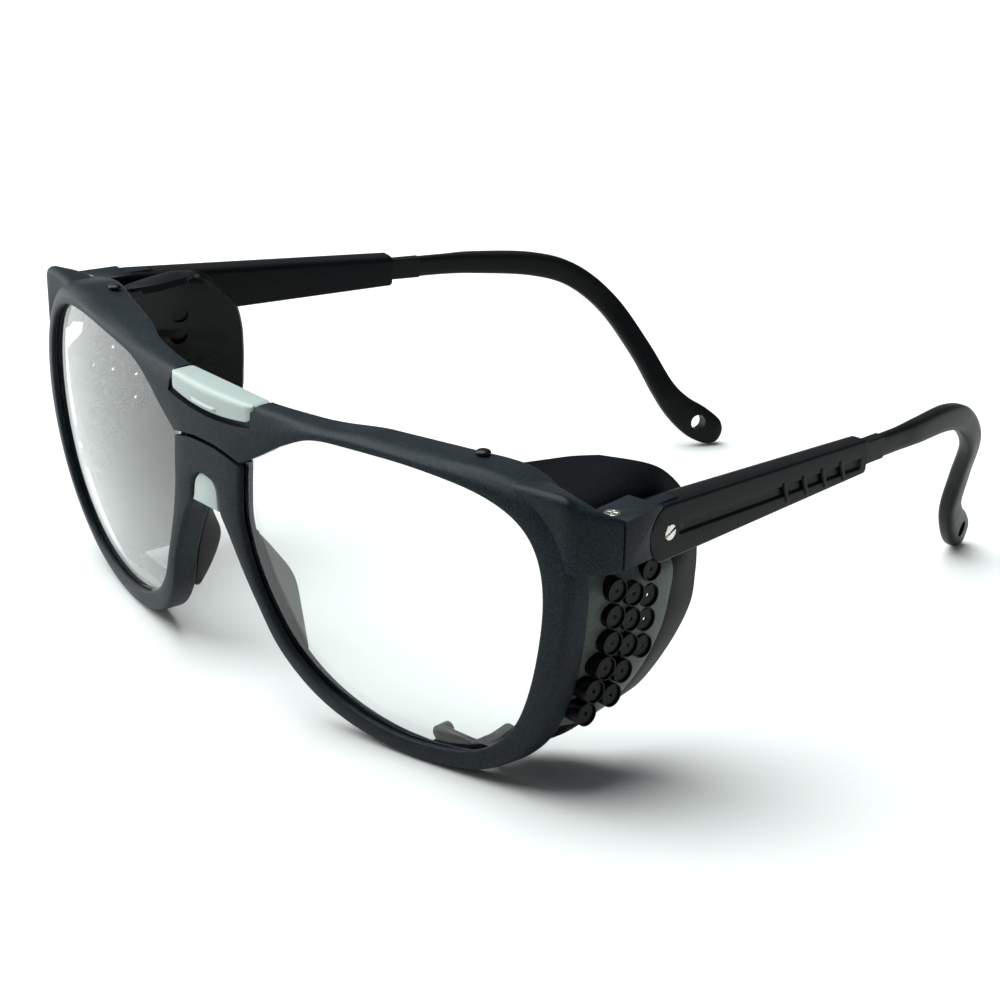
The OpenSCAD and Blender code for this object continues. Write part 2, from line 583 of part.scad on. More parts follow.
// Sleeve: side outline, plan outline, fork slot, bar slot, groove with click ribs
groove_depth = 0.3;
groove_from = 2.2;
groove_to = sleeve_len - 1.5;
module sleeve_side() {
    across(sleeve_in - 2) rotate([0, 0, 90]) linear_extrude(height = sleeve_t + 4) {
        intersection() {
            circle(r = cheek_r, $fn = 64);
            translate([-10, -sleeve_h / 2]) square([12, sleeve_h]);
        }
        polygon([[0, sleeve_h / 2], [sleeve_len, sleeve_rear_h / 2],
                 [sleeve_len, -sleeve_rear_h / 2], [0, -sleeve_h / 2]]);
    }
}
module temple_sleeve() {
    color([0.1, 0.1, 0.11]) sleeve_frame() {
        sleeve_body();
        for (k = [0:click_ribs - 1]) click_rib(k);
    }
}
module sleeve_body() {
    difference() {
        intersection() {
            sleeve_side();
            translate([0, 0, -10]) linear_extrude(height = 20) polygon([
                [block_out, -6], [block_out, sleeve_len], [block_out - sleeve_rear_t, sleeve_len],
                [sleeve_in, 5], [sleeve_in, -6]
            ]);
        }
        // Fork for the tongue
        translate([tongue_in - side_gap, -10, -10])
            cube([tongue_out - tongue_in + 2 * side_gap, 10, 20]);
        across(tongue_in - side_gap)
            cylinder(r = tongue_r + side_gap, h = tongue_out - tongue_in + 2 * side_gap);
        // Slot for the ear piece's bar
        translate([bar_u - bar_t / 2 - side_gap, sleeve_len - bar_in - slide - 0.8,
                   -bar_h / 2 - side_gap])
            cube([bar_t + 2 * side_gap, 80, bar_h + 2 * side_gap]);
        // Outer groove
        across(block_out - groove_depth) rotate([0, 0, 90]) linear_extrude(height = 2)
            polygon([[groove_from, 0.9], [groove_to, 0.1], [groove_to, -1.7], [groove_from, -0.9]]);
        // Screw holes
        across(-10) cylinder(r = pivot_screw_r + run_gap, h = 20);
        across(block_out - 0.55) cylinder(r = screw_head_r + run_gap, h = 2);
        across(sleeve_in - 1) cylinder(r = nut_r + run_gap, h = 1.5, $fn = 32);
    }
}
nut_r = 1.6;
// Click ribs across the groove near the sleeve's rear end
module click_rib(k) {
    translate([block_out - groove_depth - 0.2, groove_to - 5.7 - click_step * k, -2.6])
        cube([groove_depth + 0.35, 0.9, 3.4]);
}
module pivot_screw() {
    color([0.8, 0.8, 0.78]) sleeve_frame() difference() {
        union() {
            across(block_out - 0.5) cylinder(r = screw_head_r, h = 0.6);
            across(sleeve_in - 0.45) cylinder(r = pivot_screw_r, h = sleeve_t);
        }
        rotate([25, 0, 0]) translate([block_out - 0.2, -2, -0.18]) cube([1, 4, 0.36]);
    }
}
module pivot_nut() {
    color([0.7, 0.7, 0.68]) sleeve_frame() difference() {
        across(sleeve_in - 0.4) cylinder(r = nut_r, h = 0.85, $fn = 32);
        across(sleeve_in - 5) cylinder(r = pivot_screw_r + run_gap, h = 10);
    }
}

// Ear piece: a straight bar in the sleeve, then a curve down behind the ear to a flat tip
slide = click_step * 2;
bar_in = 27;
bar_u = block_out - sleeve_rear_t / 2;
bar_free = sleeve_len + slide + 1;
// Centre line behind the bar in the sleeve's frame, as places across, along from the sleeve's end
// and in its fall to the tip, which brings the tip down to the floor
tip_v = bar_free + 55.6;
ear_fall = (pivot_z - tip_v * sin(slope) - 1.524) / cos(slope);
ear_path = [for (p = [
    [bar_u, -8, 0], [bar_u, 0, 0], [bar_u - 0.4, 7, -0.003], [-0.3, 18.6, -0.026],
    [-1.8, 27, -0.099], [-4, 34.4, -0.268], [-8.2, 39.8, -0.5065], [-11.4, 43.6, -0.716],
    [-12.8, 46.8, -0.8325], [-14, 50.6, -0.9185], [-15, 54, -0.9767], [-15.4, 55.6, -1]
]) [p.x, bar_free + p.y, ear_fall * p.z]];
// Height and thickness of its section at each of those places
ear_sizes = [
    [bar_h, bar_t], [bar_h, bar_t], [4.1, 2.7], [4.4, 3], [4.4, 3], [4.2, 3], [4.2, 3],
    [4.6, 3], [5.6, 3], [6.6, 3], [5.4, 2.9], [2.2, 2]
];
ear_last = len(ear_path) - 1;
function ear_at(s) = curve(ear_path, s);
function ear_axis(s) = unit(ear_at(min(s + 0.1, ear_last)) - ear_at(max(s - 0.1, 0)));
function ear_up(s) = unit(cross([1, 0, 0], ear_axis(s)));
function ear_side(s) = cross(ear_axis(s), ear_up(s));
function ear_ring(s) =
    let (c = ear_at(s), z = curve(ear_sizes, s), up = ear_up(s), side = ear_side(s))
    [for (k = [0:15])
        let (a = 22.5 * k, e = 0.5, cu = cos(a), cs = sin(a))
        c + up * z.x / 2 * sign(cu) * pow(abs(cu), e) + side * z.y / 2 * sign(cs) * pow(abs(cs), e)];
hole_s = ear_last - 2;
module ear_piece() {
    color([0.09, 0.09, 0.1]) sleeve_frame() difference() {
        union() {
            translate([bar_u - bar_t / 2, sleeve_len - bar_in, -bar_h / 2])
                cube([bar_t, bar_in + slide - 4, bar_h]);
            loft([for (s = [0:0.25:ear_last]) ear_ring(s)]);
        }
        let (c = ear_at(hole_s), v = ear_side(hole_s))
        translate(c) rotate([0, acos(v.z), atan2(v.y, v.x)])
            cylinder(r = cord_hole_r, h = through, center = true);
    }
}

module left_lens() { color([0.8, 0.88, 0.86, 0.45]) left_side() lens(); }
module right_lens() { color([0.8, 0.88, 0.86, 0.45]) right_side() lens(); }
module left_nose_pad() { color([0.16, 0.13, 0.12]) left_side() nose_pad(); }
module right_nose_pad() { color([0.16, 0.13, 0.12]) right_side() nose_pad(); }
module left_side_shield() { color([0.2, 0.22, 0.22]) left_side() side_shield(); }
module right_side_shield() { color([0.2, 0.22, 0.22]) right_side() side_shield(); }
module left_hinge_block() { left_side() hinge_block(); }
module right_hinge_block() { right_side() hinge_block(); }
module left_hinge_screw() { left_side() hinge_screw(); }
module right_hinge_screw() { right_side() hinge_screw(); }
module left_temple_sleeve() { left_side() temple_sleeve(); }
module right_temple_sleeve() { right_side() temple_sleeve(); }
module left_pivot_screw() { left_side() pivot_screw(); }
module right_pivot_screw() { right_side() pivot_screw(); }
module left_pivot_nut() { left_side() pivot_nut(); }
module right_pivot_nut() { right_side() pivot_nut(); }
module left_ear_piece() { left_side() ear_piece(); }
module right_ear_piece() { right_side() ear_piece(); }

frame_front();
bridge_clip();
bridge_insert();
left_lens();
right_lens();
left_nose_pad();
right_nose_pad();
left_side_shield();
right_side_shield();
left_hinge_block();
right_hinge_block();
left_hinge_screw();
right_hinge_screw();
left_temple_sleeve();
right_temple_sleeve();
left_pivot_screw();
right_pivot_screw();
left_pivot_nut();
right_pivot_nut();
left_ear_piece();
right_ear_piece();
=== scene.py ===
"""Looks of the welding glasses: moulded front, bridge clip, lenses, shields and temples.

Shapes are drawn in millimetres about the front, with x to the wearer's left, y to the rear and
z up, and `metres` moves them into the row frame. The left side is drawn and mirrored in numbers.
"""
import math

import bmesh
import bpy
import numpy as np
from mathutils import Matrix, Vector
from mathutils.kdtree import KDTree


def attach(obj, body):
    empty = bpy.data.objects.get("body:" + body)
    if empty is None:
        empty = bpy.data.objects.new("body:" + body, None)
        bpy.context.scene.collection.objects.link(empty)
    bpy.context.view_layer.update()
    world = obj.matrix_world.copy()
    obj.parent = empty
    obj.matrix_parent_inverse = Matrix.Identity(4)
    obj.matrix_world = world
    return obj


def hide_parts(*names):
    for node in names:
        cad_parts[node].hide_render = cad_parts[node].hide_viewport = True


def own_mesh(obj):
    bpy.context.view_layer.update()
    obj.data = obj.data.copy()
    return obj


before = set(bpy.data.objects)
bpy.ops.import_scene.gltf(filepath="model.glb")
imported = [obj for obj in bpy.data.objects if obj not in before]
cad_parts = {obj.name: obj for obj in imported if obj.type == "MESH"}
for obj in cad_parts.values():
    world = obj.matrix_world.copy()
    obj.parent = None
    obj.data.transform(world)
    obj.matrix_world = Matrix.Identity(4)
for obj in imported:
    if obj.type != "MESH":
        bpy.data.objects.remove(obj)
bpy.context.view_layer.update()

# y of the shapes at the row frame's middle, and the mirrored sides of the glasses
MIDDLE_Y = 53.1
SIDES = (("left", 1), ("right", -1))

# Numbers of the real parts, mm
LENS_W, LENS_H, NOSE_GAP = 54.6, 45.5, 17.2
WRAP_R, BULGE_R, BRIDGE_Y = 155.0, 102.0, -19.2
RIM_DEPTH, RIM_LOW, RIM_SIDE, BROW_W = 4.6, 3.4, 3.7, 2.1
SHELF_DEPTH, SHELF_T, SHELF_FALL = 9.6, 1.2, 0.15
SPLIT_GAP, SPLIT_ARCH, NOTCH_HALF, NOTCH_ARCH = 0.6, 0.5, 3.0, 3.2
LENS_T, GROOVE_D, LIP_T, LENS_GAP = 2.2, 1.0, 1.2, 0.06
CLIP_W, CLIP_T, CLIP_LIP, CLIP_SEAT, CLIP_DEPTH = 21.0, 0.9, 3.6, 0.9, 4.9
HINGE_OUT, BLOCK_H, BLOCK_OUT, EAR_R, LUG_H = 3.6, 7.5, 3.6, 2.5, 2.6
SLEEVE_LEN, SLEEVE_H, SLEEVE_REAR_H, SLEEVE_T, SLEEVE_REAR_T = 51.2, 8.6, 5.5, 4.8, 3.6
CHEEK_T, SIDE_GAP, CLICK_STEP = 1.15, 0.15, 5.1
TOE_IN, SLOPE = math.radians(9.5), math.radians(2.9)
PIVOT_V = 9.2
BAR_H, BAR_T, CORD_HOLE_R = 3.8, 2.0, 1.5
SHIELD_T, VENT_R, VENT_H, RUN_GAP = 1.2, 1.85, 1.1, 0.05

SILL_Z = RIM_LOW + 0.12
BROW_Z = SILL_Z + LENS_H + BROW_W
BULGE_Z = SILL_Z + 0.72 * LENS_H
SPLIT_LOW = SILL_Z + 0.81 * LENS_H
SPLIT_MID = SPLIT_LOW + 1.3
NOTCH_TOP = SPLIT_MID - 5.2
BRIDGE_DEPTH = RIM_DEPTH - 0.3
SIDE_X = NOSE_GAP / 2 + LENS_W
BLOCK_Z = BROW_Z - 12.12
LUG_Z = BLOCK_Z + BLOCK_H / 2
PIVOT_Z = BLOCK_Z + 2.8
# In from the side, and back from the front surface: hinge screw, shield peg and shield lug
HINGE_BACK = 9.71
PEG_IN, PEG_BACK = 16, 7.334
FOOT_IN, FOOT_BACK, FOOT_Z = 26.8, 8.066, 2

# Angles past which an edge stays sharp, distance under which points merge (m), points in an arc
SHARP, SHARP_SOFT, SHARP_PAD = 38, 50, 60
WELD = 2e-6
ARC = 6
# A small step along a surface's two numbers, for its slope
NEAR = 0.02


# Curves and surfaces
def cubic(a, b, c, d, t):
    """Cubic from b to c at t: 1/2 (2b + (c-a) t + (2a-5b+4c-d) t^2 + (3b-a-3c+d) t^3)."""
    return 0.5 * (2 * b + (c - a) * t + (2 * a - 5 * b + 4 * c - d) * t ** 2
                  + (3 * b - a - 3 * c + d) * t ** 3)


def curve(points, s):
    """Cubic through points: in each span a blend of its two ends and their neighbours, so that the
    slope at a point is half the step between the points on either side of it."""
    p = np.asarray(points, float)
    p = p[:, None] if p.ndim == 1 else p
    s = np.asarray(s, float)
    n = len(p)
    i = np.clip(np.floor(s).astype(int), 0, n - 2)
    t = (s - i)[..., None]
    return cubic(p[np.maximum(i - 1, 0)], p[i], p[i + 1], p[np.minimum(i + 2, n - 1)], t)


def unit(v):
    """Each vector divided by its length."""
    return v / np.maximum(np.linalg.norm(v, axis=-1, keepdims=True), 1e-12)


def front_y(x, z):
    """Front surface: a parabola across, for the wrap, plus one up and down, for the bulge."""
    return BRIDGE_Y + x * x / (2 * WRAP_R) + (z - BULGE_Z) ** 2 / (2 * BULGE_R)


HINGE = (SIDE_X + HINGE_OUT, float(front_y(SIDE_X, LUG_Z)) + HINGE_BACK)
PEG = (SIDE_X - PEG_IN, float(front_y(SIDE_X - PEG_IN, BROW_Z)) + PEG_BACK)
PEG_R, PEG_HEAD_R, PEG_LEN, PEG_DOME, PEG_TOP = 0.9, 1.15, 3.6, 0.5, BROW_Z + 0.5
FOOT = (SIDE_X - FOOT_IN, float(front_y(SIDE_X - FOOT_IN, FOOT_Z)) + FOOT_BACK)


def rounded(rings, reach, n=5):
    """Each corner of each ring becomes an arc: (1-t)^2 a + 2t(1-t) corner + t^2 b, where a and b
    lie on the corner's two sides at the given reach, never past the sides' middles."""
    before, after = np.roll(rings, 1, axis=1), np.roll(rings, -1, axis=1)
    reach = np.broadcast_to(np.asarray(reach, float), rings.shape[:2])
    la = np.linalg.norm(before - rings, axis=-1)
    lb = np.linalg.norm(after - rings, axis=-1)
    a = rings + unit(before - rings) * np.minimum(reach, 0.49 * la)[..., None]
    b = rings + unit(after - rings) * np.minimum(reach, 0.49 * lb)[..., None]
    t = np.linspace(0, 1, n)[None, None, :, None]
    out = ((1 - t) ** 2 * a[:, :, None] + 2 * t * (1 - t) * rings[:, :, None]
           + t ** 2 * b[:, :, None])
    return out.reshape(len(rings), -1, 3)


def skin(rings, caps=True, keep=None):
    """Surface through rings[i, k]: quads between neighbouring rings, closed round k, with a flat
    face on each end ring. keep marks the quads that stay."""
    m, n, _ = rings.shape
    i, k = np.arange(m - 1)[:, None], np.arange(n)[None, :]
    a, b = i * n + k, i * n + (k + 1) % n
    quads = np.stack([a, b, b + n, a + n], -1)
    quads = quads[keep] if keep is not None else quads.reshape(-1, 4)
    faces = quads.tolist()
    if caps:
        faces += [list(range(n - 1, -1, -1)), list(range((m - 1) * n, m * n))]
    return rings.reshape(-1, 3), faces


def turned(profile, n=32):
    """A closed profile of (radius, height) places turned about the upright axis."""
    a = np.linspace(0, 2 * np.pi, n, endpoint=False)
    p = np.asarray(profile, float)
    rings = np.stack([p[:, 0, None] * np.cos(a), p[:, 0, None] * np.sin(a),
                      np.broadcast_to(p[:, 1, None], (len(p), n))], -1)
    return skin(rings)


def rod(r, low, high, n=32):
    """An upright cylinder."""
    return turned([[r, low], [r, high]], n)


def collar(r_out, r_in, low, high, n=32, edge=0.14):
    """A short tube: a rounded box section turned about the upright axis."""
    box = np.array([[[r_out, 0, low], [r_out, 0, high], [r_in, 0, high], [r_in, 0, low]]], float)
    sec = rounded(box, edge, 4)[0]
    a = np.linspace(0, 2 * np.pi, n + 1)
    rings = np.stack([np.cos(a)[:, None] * sec[None, :, 0], np.sin(a)[:, None] * sec[None, :, 0],
                      np.broadcast_to(sec[None, :, 2], (n + 1, len(sec)))], -1)
    return skin(rings, caps=False)


def block(low, high):
    """A box between two corners."""
    (x0, y0, z0), (x1, y1, z1) = low, high
    ring = lambda z: [[x0, y0, z], [x1, y0, z], [x1, y1, z], [x0, y1, z]]
    return skin(np.array([ring(z0), ring(z1)], float))


def along(axis, at, corners):
    """Rings at the places along an axis: each corner gives the ring's two other coordinates,
    which are numbers or follow the places."""
    rows = [[np.broadcast_to(c, at.shape) for c in pair] for pair in corners]
    return np.stack([np.stack(row[:axis] + [at] + row[axis:], -1) for row in rows], 1)


def moved(part, how):
    """The part with its points sent through how(points)."""
    return how(np.asarray(part[0], float)), part[1]


def planted(part, spot):
    """The upright part moved to its spot in plan."""
    return moved(part, lambda p: p + [spot[0], spot[1], 0])


def set_on(part, at, x, y, z):
    """The part moved to a place, with its own axes along x, y and z."""
    return moved(part, lambda p: at + p[..., :1] * x + p[..., 1:2] * y + p[..., 2:] * z)


def joined(parts):
    """Several parts as one list of points and faces."""
    points, faces, at = [], [], 0
    for p, f in parts:
        points.append(np.asarray(p, float))
        faces += [[k + at for k in g] for g in f]
        at += len(p)
    return np.concatenate(points), faces


def metres(p, side=1):
    """Millimetres about the front to metres in the row frame, mirrored for side -1."""
    return (np.asarray(p, float) * [side, 1, 1] - [0, MIDDLE_Y, 0]) / 1000


def swung(a, b, angle):
    """Two coordinates turned by the angle: a cos - b sin, and a sin + b cos."""
    c, s = math.cos(angle), math.sin(angle)
    return a * c - b * s, a * s + b * c


def hinge_to_front(p):
    """Turns the hinge's frame, u outward and v to the rear, in by the toe-in and sets it on the
    hinge screw."""
    x, y = swung(p[..., 0], p[..., 1], TOE_IN)
    return np.stack([x + HINGE[0], y + HINGE[1], p[..., 2]], -1)


def sleeve_to_front(p):
    """Tips the sleeve's frame down by the slope about the pivot, then on as the hinge's frame."""
    y, z = swung(p[..., 1], p[..., 2], -SLOPE)
    return hinge_to_front(np.stack([p[..., 0], y + PIVOT_V, z + PIVOT_Z], -1))


def across(p):
    """Lays an upright shape over so that its height runs outward."""
    return np.stack([p[..., 2], p[..., 0], p[..., 1]], -1)


# Mesh helpers
def weld(bm, distance=WELD):
    """Merges points that lie nearer than the distance."""
    bmesh.ops.remove_doubles(bm, verts=bm.verts, dist=distance)


def turn_out(bm):
    """Turns every face outward."""
    bmesh.ops.recalc_face_normals(bm, faces=bm.faces)


def drop_slivers(bm):
    """Takes out edges and faces without size."""
    bmesh.ops.dissolve_degenerate(bm, edges=bm.edges, dist=1e-7)


def join_flat(bm):
    """Joins the triangles of each flat face."""
    bmesh.ops.dissolve_limit(bm, angle_limit=math.radians(0.6), verts=bm.verts, edges=bm.edges)


def rebuild(mesh, sources, *steps):
    """Puts the source meshes together, takes each step on them and stores the result in mesh."""
    bm = bmesh.new()
    for source in sources:
        bm.from_mesh(source)
    for step in steps:
        step(bm)
    bm.to_mesh(mesh)
    bm.free()


def make_mesh(name, part, side=1, sharp=SHARP):
    """A mesh from points and faces in millimetres, doubles merged and faces turned outward."""
    mesh = bpy.data.meshes.new(name)
    mesh.from_pydata(metres(part[0], side).tolist(), [], part[1])
    rebuild(mesh, [mesh], weld, drop_slivers, turn_out)
    finish_mesh(mesh, sharp)
    return mesh


def finish_mesh(mesh, sharp):
    """Shades the mesh smooth, except at edges sharper than the angle."""
    mesh.polygons.foreach_set("use_smooth", np.ones(len(mesh.polygons), bool))
    mesh.set_sharp_from_angle(angle=math.radians(sharp))
    mesh.update()


def make_object(name, data):
    """An object of a mesh, a lamp or a camera, in the scene."""
    obj = bpy.data.objects.new(name, data)
    bpy.context.scene.collection.objects.link(obj)
    return obj


def shaped(name, part, side=1, sharp=SHARP):
    """An object whose mesh is the part."""
    return make_object(name, make_mesh(name, part, side, sharp))


def baked(obj, sharp):
    """Applies the object's modifiers to its mesh."""
    bpy.context.view_layer.update()
    graph = bpy.context.evaluated_depsgraph_get()
    mesh = bpy.data.meshes.new_from_object(obj.evaluated_get(graph))
    obj.modifiers.clear()
    old = obj.data
    obj.data = mesh
    bpy.data.meshes.remove(old)
    rebuild(mesh, [mesh], lambda bm: weld(bm, WELD / 2))
    finish_mesh(mesh, sharp)
    return obj


def cut(obj, part, side=1, sharp=SHARP):
    """Takes the solid part away from obj."""
    tool = shaped("tool", part, side)
    mod = obj.modifiers.new("cut", "BOOLEAN")
    mod.operation, mod.solver, mod.object = "DIFFERENCE", "EXACT", tool
    baked(obj, sharp)
    bpy.data.objects.remove(tool)
    return obj


def add_part(obj, part, side=1, sharp=SHARP):
    """Adds a closed part to obj's mesh as it is."""
    extra = make_mesh("extra", part, side)
    rebuild(obj.data, [obj.data, extra])
    bpy.data.meshes.remove(extra)
    finish_mesh(obj.data, sharp)
    return obj


def bevelled_copy(node, name, width):
    """A merged copy of a CAD node with its edges rounded a little."""
    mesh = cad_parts[node].data.copy()
    mesh.name = name
    mesh.materials.clear()
    rebuild(mesh, [mesh], weld, join_flat)
    obj = make_object(name, mesh)
    mod = obj.modifiers.new("edge", "BEVEL")
    mod.width, mod.segments, mod.limit_method = width / 1000, 2, "ANGLE"
    mod.angle_limit = math.radians(40)
    mod.use_clamp_overlap = True
    return baked(obj, SHARP)


def settle(obj, body, node, slot, material):
    """The finished piece rides on its body, stands for its CAD node and takes its material."""
    obj.data.materials.clear()
    obj.data.materials.append(material)
    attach(obj, body)
    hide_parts(node)
    return obj


# Shared shader groups
def new_group(name, inputs, outputs):
    """A shader group with named inputs and outputs, and its two end nodes."""
    group = bpy.data.node_groups.new(name, "ShaderNodeTree")
    for label, kind, value in inputs:
        socket = group.interface.new_socket(name=label, in_out="INPUT", socket_type=kind)
        if value is not None:
            socket.default_value = value
    for label in outputs:
        group.interface.new_socket(name=label, in_out="OUTPUT", socket_type="NodeSocketFloat")
    return group, add_node(group, "NodeGroupInput"), add_node(group, "NodeGroupOutput")


def add_node(tree, kind, values=(), **settings):
    """A new node with its settings, and (input, value) pairs for its sockets."""
    node = tree.nodes.new(kind)
    for label, value in settings.items():
        setattr(node, label, value)
    set_inputs(node, values)
    return node


def set_inputs(node, values):
    """Sets each (input, value) pair on the node's sockets."""
    for label, value in values:
        node.inputs[label].default_value = value


def connect(tree, wires):
    """Links each (node, its output, node, its input)."""
    for giver, output, taker, label in wires:
        tree.links.new(giver.outputs[output], taker.inputs[label])


def moulded_grain_group():
    """Fine spark-eroded grain: two sizes of noise added, with a soft mask of its high places."""
    g, i, o = new_group(
        "moulded_grain",
        [("Position", "NodeSocketVector", None), ("Grain Size", "NodeSocketFloat", 2400.0),
         ("Fine Share", "NodeSocketFloat", 0.4)], ["Height", "Peaks"])
    coarse = add_node(g, "ShaderNodeTexNoise", [("Detail", 2.0)])
    fine = add_node(g, "ShaderNodeTexNoise", [("Detail", 1.0)])
    finer = add_node(g, "ShaderNodeMath", [(1, 2.7)], operation="MULTIPLY")
    share = add_node(g, "ShaderNodeMath", operation="MULTIPLY")
    total = add_node(g, "ShaderNodeMath", operation="ADD")
    peaks = add_node(g, "ShaderNodeMapRange", [("From Min", 0.55), ("From Max", 0.95)])
    connect(g, [
        (i, "Position", coarse, "Vector"), (i, "Position", fine, "Vector"),
        (i, "Grain Size", coarse, "Scale"), (i, "Grain Size", finer, 0),
        (finer, 0, fine, "Scale"), (fine, "Fac", share, 0), (i, "Fine Share", share, 1),
        (coarse, "Fac", total, 0), (share, 0, total, 1), (total, 0, peaks, "Value"),
        (total, 0, o, "Height"), (peaks, "Result", o, "Peaks")])
    return g


def handling_group():
    """Soft patches of handling and dust, mapped to a slightly rougher or smoother surface."""
    g, i, o = new_group(
        "handling",
        [("Position", "NodeSocketVector", None), ("Patch Size", "NodeSocketFloat", 60.0),
         ("Low", "NodeSocketFloat", 0.4), ("High", "NodeSocketFloat", 0.5)],
        ["Roughness", "Patches"])
    noise = add_node(g, "ShaderNodeTexNoise", [("Detail", 4.0), ("Roughness", 0.55)])
    spread = add_node(g, "ShaderNodeMapRange", [("From Min", 0.3), ("From Max", 0.7)])
    connect(g, [
        (i, "Position", noise, "Vector"), (i, "Patch Size", noise, "Scale"),
        (noise, "Fac", spread, "Value"), (i, "Low", spread, "To Min"),
        (i, "High", spread, "To Max"), (spread, "Result", o, "Roughness"),
        (noise, "Fac", o, "Patches")])
    return g


GRAIN = moulded_grain_group()
HANDLING = handling_group()


def new_material(name, patch, low, high):
    """A material whose roughness varies from low to high by handling, with its node tree, its
    shader, its coordinates and its handling node."""
    mat = bpy.data.materials.new(name)
    mat.use_nodes = True
    tree = mat.node_tree
    shader = tree.nodes["Principled BSDF"]
    place = add_node(tree, "ShaderNodeTexCoord")
    worn = add_node(tree, "ShaderNodeGroup",
                    [("Patch Size", patch), ("Low", low), ("High", high)], node_tree=HANDLING)
    connect(tree, [(place, "Object", worn, "Position"),
                   (worn, "Roughness", shader, "Roughness")])
    return mat, tree, shader, place, worn


def plastic(name, dark, light, low, high, grain, depth, strength, patch=60.0, gloss=0.5):
    """Moulded plastic: grain lifts the colour from dark to light and makes the bump, and handling
    varies the roughness from low to high."""
    mat, tree, shader, place, worn = new_material(name, patch, low, high)
    fine = add_node(tree, "ShaderNodeGroup", [("Grain Size", grain)], node_tree=GRAIN)
    tone = add_node(tree, "ShaderNodeMix", [("A", (*dark, 1)), ("B", (*light, 1))],
                    data_type="RGBA")
    both = add_node(tree, "ShaderNodeMath", operation="MULTIPLY")
    bump = add_node(tree, "ShaderNodeBump", [("Strength", strength), ("Distance", depth)])
    set_inputs(shader, [("Specular IOR Level", gloss)])
    connect(tree, [
        (place, "Object", fine, "Position"), (fine, "Peaks", both, 0), (worn, "Patches", both, 1),
        (both, 0, tone, "Factor"), (tone, "Result", shader, "Base Color"),
        (fine, "Height", bump, "Height"), (bump, "Normal", shader, "Normal")])
    return mat


def nickel(name, color, low, high):
    """Plated metal: the plastic's pattern, much finer and shallower, under full metallic."""
    mat = plastic(name, color, tuple(min(1, c * 1.12) for c in color), low, high, grain=5200.0,
                  depth=0.000001, strength=0.12, patch=900.0)
    set_inputs(mat.node_tree.nodes["Principled BSDF"], [("Metallic", 1.0)])
    return mat


def lens_glass(name):
    """Clear lens: full transmission with a faint green-grey, and smudges that only dull it."""
    mat, _, shader, _, _ = new_material(name, 45.0, 0.0, 0.03)
    set_inputs(shader, [("Base Color", (0.955, 0.985, 0.972, 1)), ("Transmission Weight", 1.0),
                        ("IOR", 1.5)])
    return mat


NYLON = plastic("grey_nylon", (0.003, 0.0048, 0.0075), (0.022, 0.034, 0.04), 0.4, 0.52, 3400.0,
                0.00003, 0.6, gloss=0.12)
SHIELD = plastic("shield_plastic", (0.002, 0.0024, 0.0028), (0.006, 0.007, 0.008), 0.26, 0.36,
                 3000.0, 0.00002, 0.3, gloss=0.16)
# Painted reflection: the panel's lighter grey-green stands in for the light that the shield's
# outer side reflects
PAINTED_REFLECTION_PANEL = plastic("shield_panel_painted_reflection", (0.055, 0.068, 0.06), (0.11, 0.135, 0.12), 0.42, 0.52, 2600.0,
                0.00003, 0.4, gloss=0.2)
BAND = plastic("shield_band", (0.002, 0.0025, 0.0035), (0.006, 0.007, 0.009), 0.5, 0.6, 3000.0,
               0.00002, 0.3, gloss=0.04)
VENT = plastic("vent_plastic", (0.001, 0.0011, 0.0012), (0.003, 0.0034, 0.0036), 0.3, 0.4, 3000.0,
               0.00002, 0.3, gloss=0.14)
TEMPLE = plastic("temple_plastic", (0.002, 0.0024, 0.003), (0.008, 0.009, 0.011), 0.3, 0.4, 3200.0,
                 0.00002, 0.35, gloss=0.07)
EAR = plastic("ear_plastic", (0.002, 0.0023, 0.0027), (0.008, 0.009, 0.010), 0.34, 0.46, 3200.0,
              0.00002, 0.35, gloss=0.11)
CLIP = plastic("clip_plastic", (0.27, 0.315, 0.3), (0.32, 0.37, 0.355), 0.36, 0.46, 3200.0,
               0.000015, 0.3, gloss=0.4)
PAD = plastic("pad_rubber", (0.007, 0.006, 0.0055), (0.02, 0.017, 0.016), 0.5, 0.62, 1800.0,
              0.00003, 0.4, gloss=0.2)
NICKEL = nickel("nickel_plate", (0.62, 0.6, 0.55), 0.2, 0.34)
GLASS = lens_glass("clear_lens")

# Moulded front
OUTLINE = [
    [0, 0.803], [0, 0.75], [0, 0.69], [0, 0.65], [0.003, 0.61], [0.012, 0.56], [0.03, 0.48],
    [0.075, 0.35], [0.15, 0.195], [0.265, 0.08], [0.42, 0.012], [0.59, 0], [0.76, 0.045],
    [0.885, 0.17], [0.96, 0.36], [1, 0.6], [0.99, 0.78], [0.93, 0.9], [0.81, 0.97],
    [0.62, 1], [0.42, 1], [0.27, 0.985], [0.16, 0.93], [0.085, 0.875], [0.035, 0.84],
    [0.004, 0.817]]
RIM_WIDTHS = [0] * 7 + [2.4, 2.9] + [RIM_LOW] * 5 + [
    RIM_SIDE - 0.1, RIM_SIDE, RIM_SIDE + 0.4, 4.4, 3.2] + [BROW_W] * 3 + [0] * 4
OUTER_LOW = [
    [0, SPLIT_MID - SPLIT_GAP / 2], [0, (SPLIT_MID + NOTCH_TOP) / 2], [0, NOTCH_TOP],
    [NOTCH_HALF * 0.8, NOTCH_TOP - 1], [NOTCH_HALF, NOTCH_TOP - NOTCH_ARCH],
    [NOTCH_HALF + 0.4, NOTCH_TOP - 5.4], [NOTCH_HALF + 2.7, NOTCH_TOP - 8.8]]
OUTER_TOP = [[CLIP_W / 2 + 0.5, BROW_Z - 1], [0, BROW_Z - 1], [0, BROW_Z - 5],
             [0, SPLIT_MID + SPLIT_GAP / 2]]
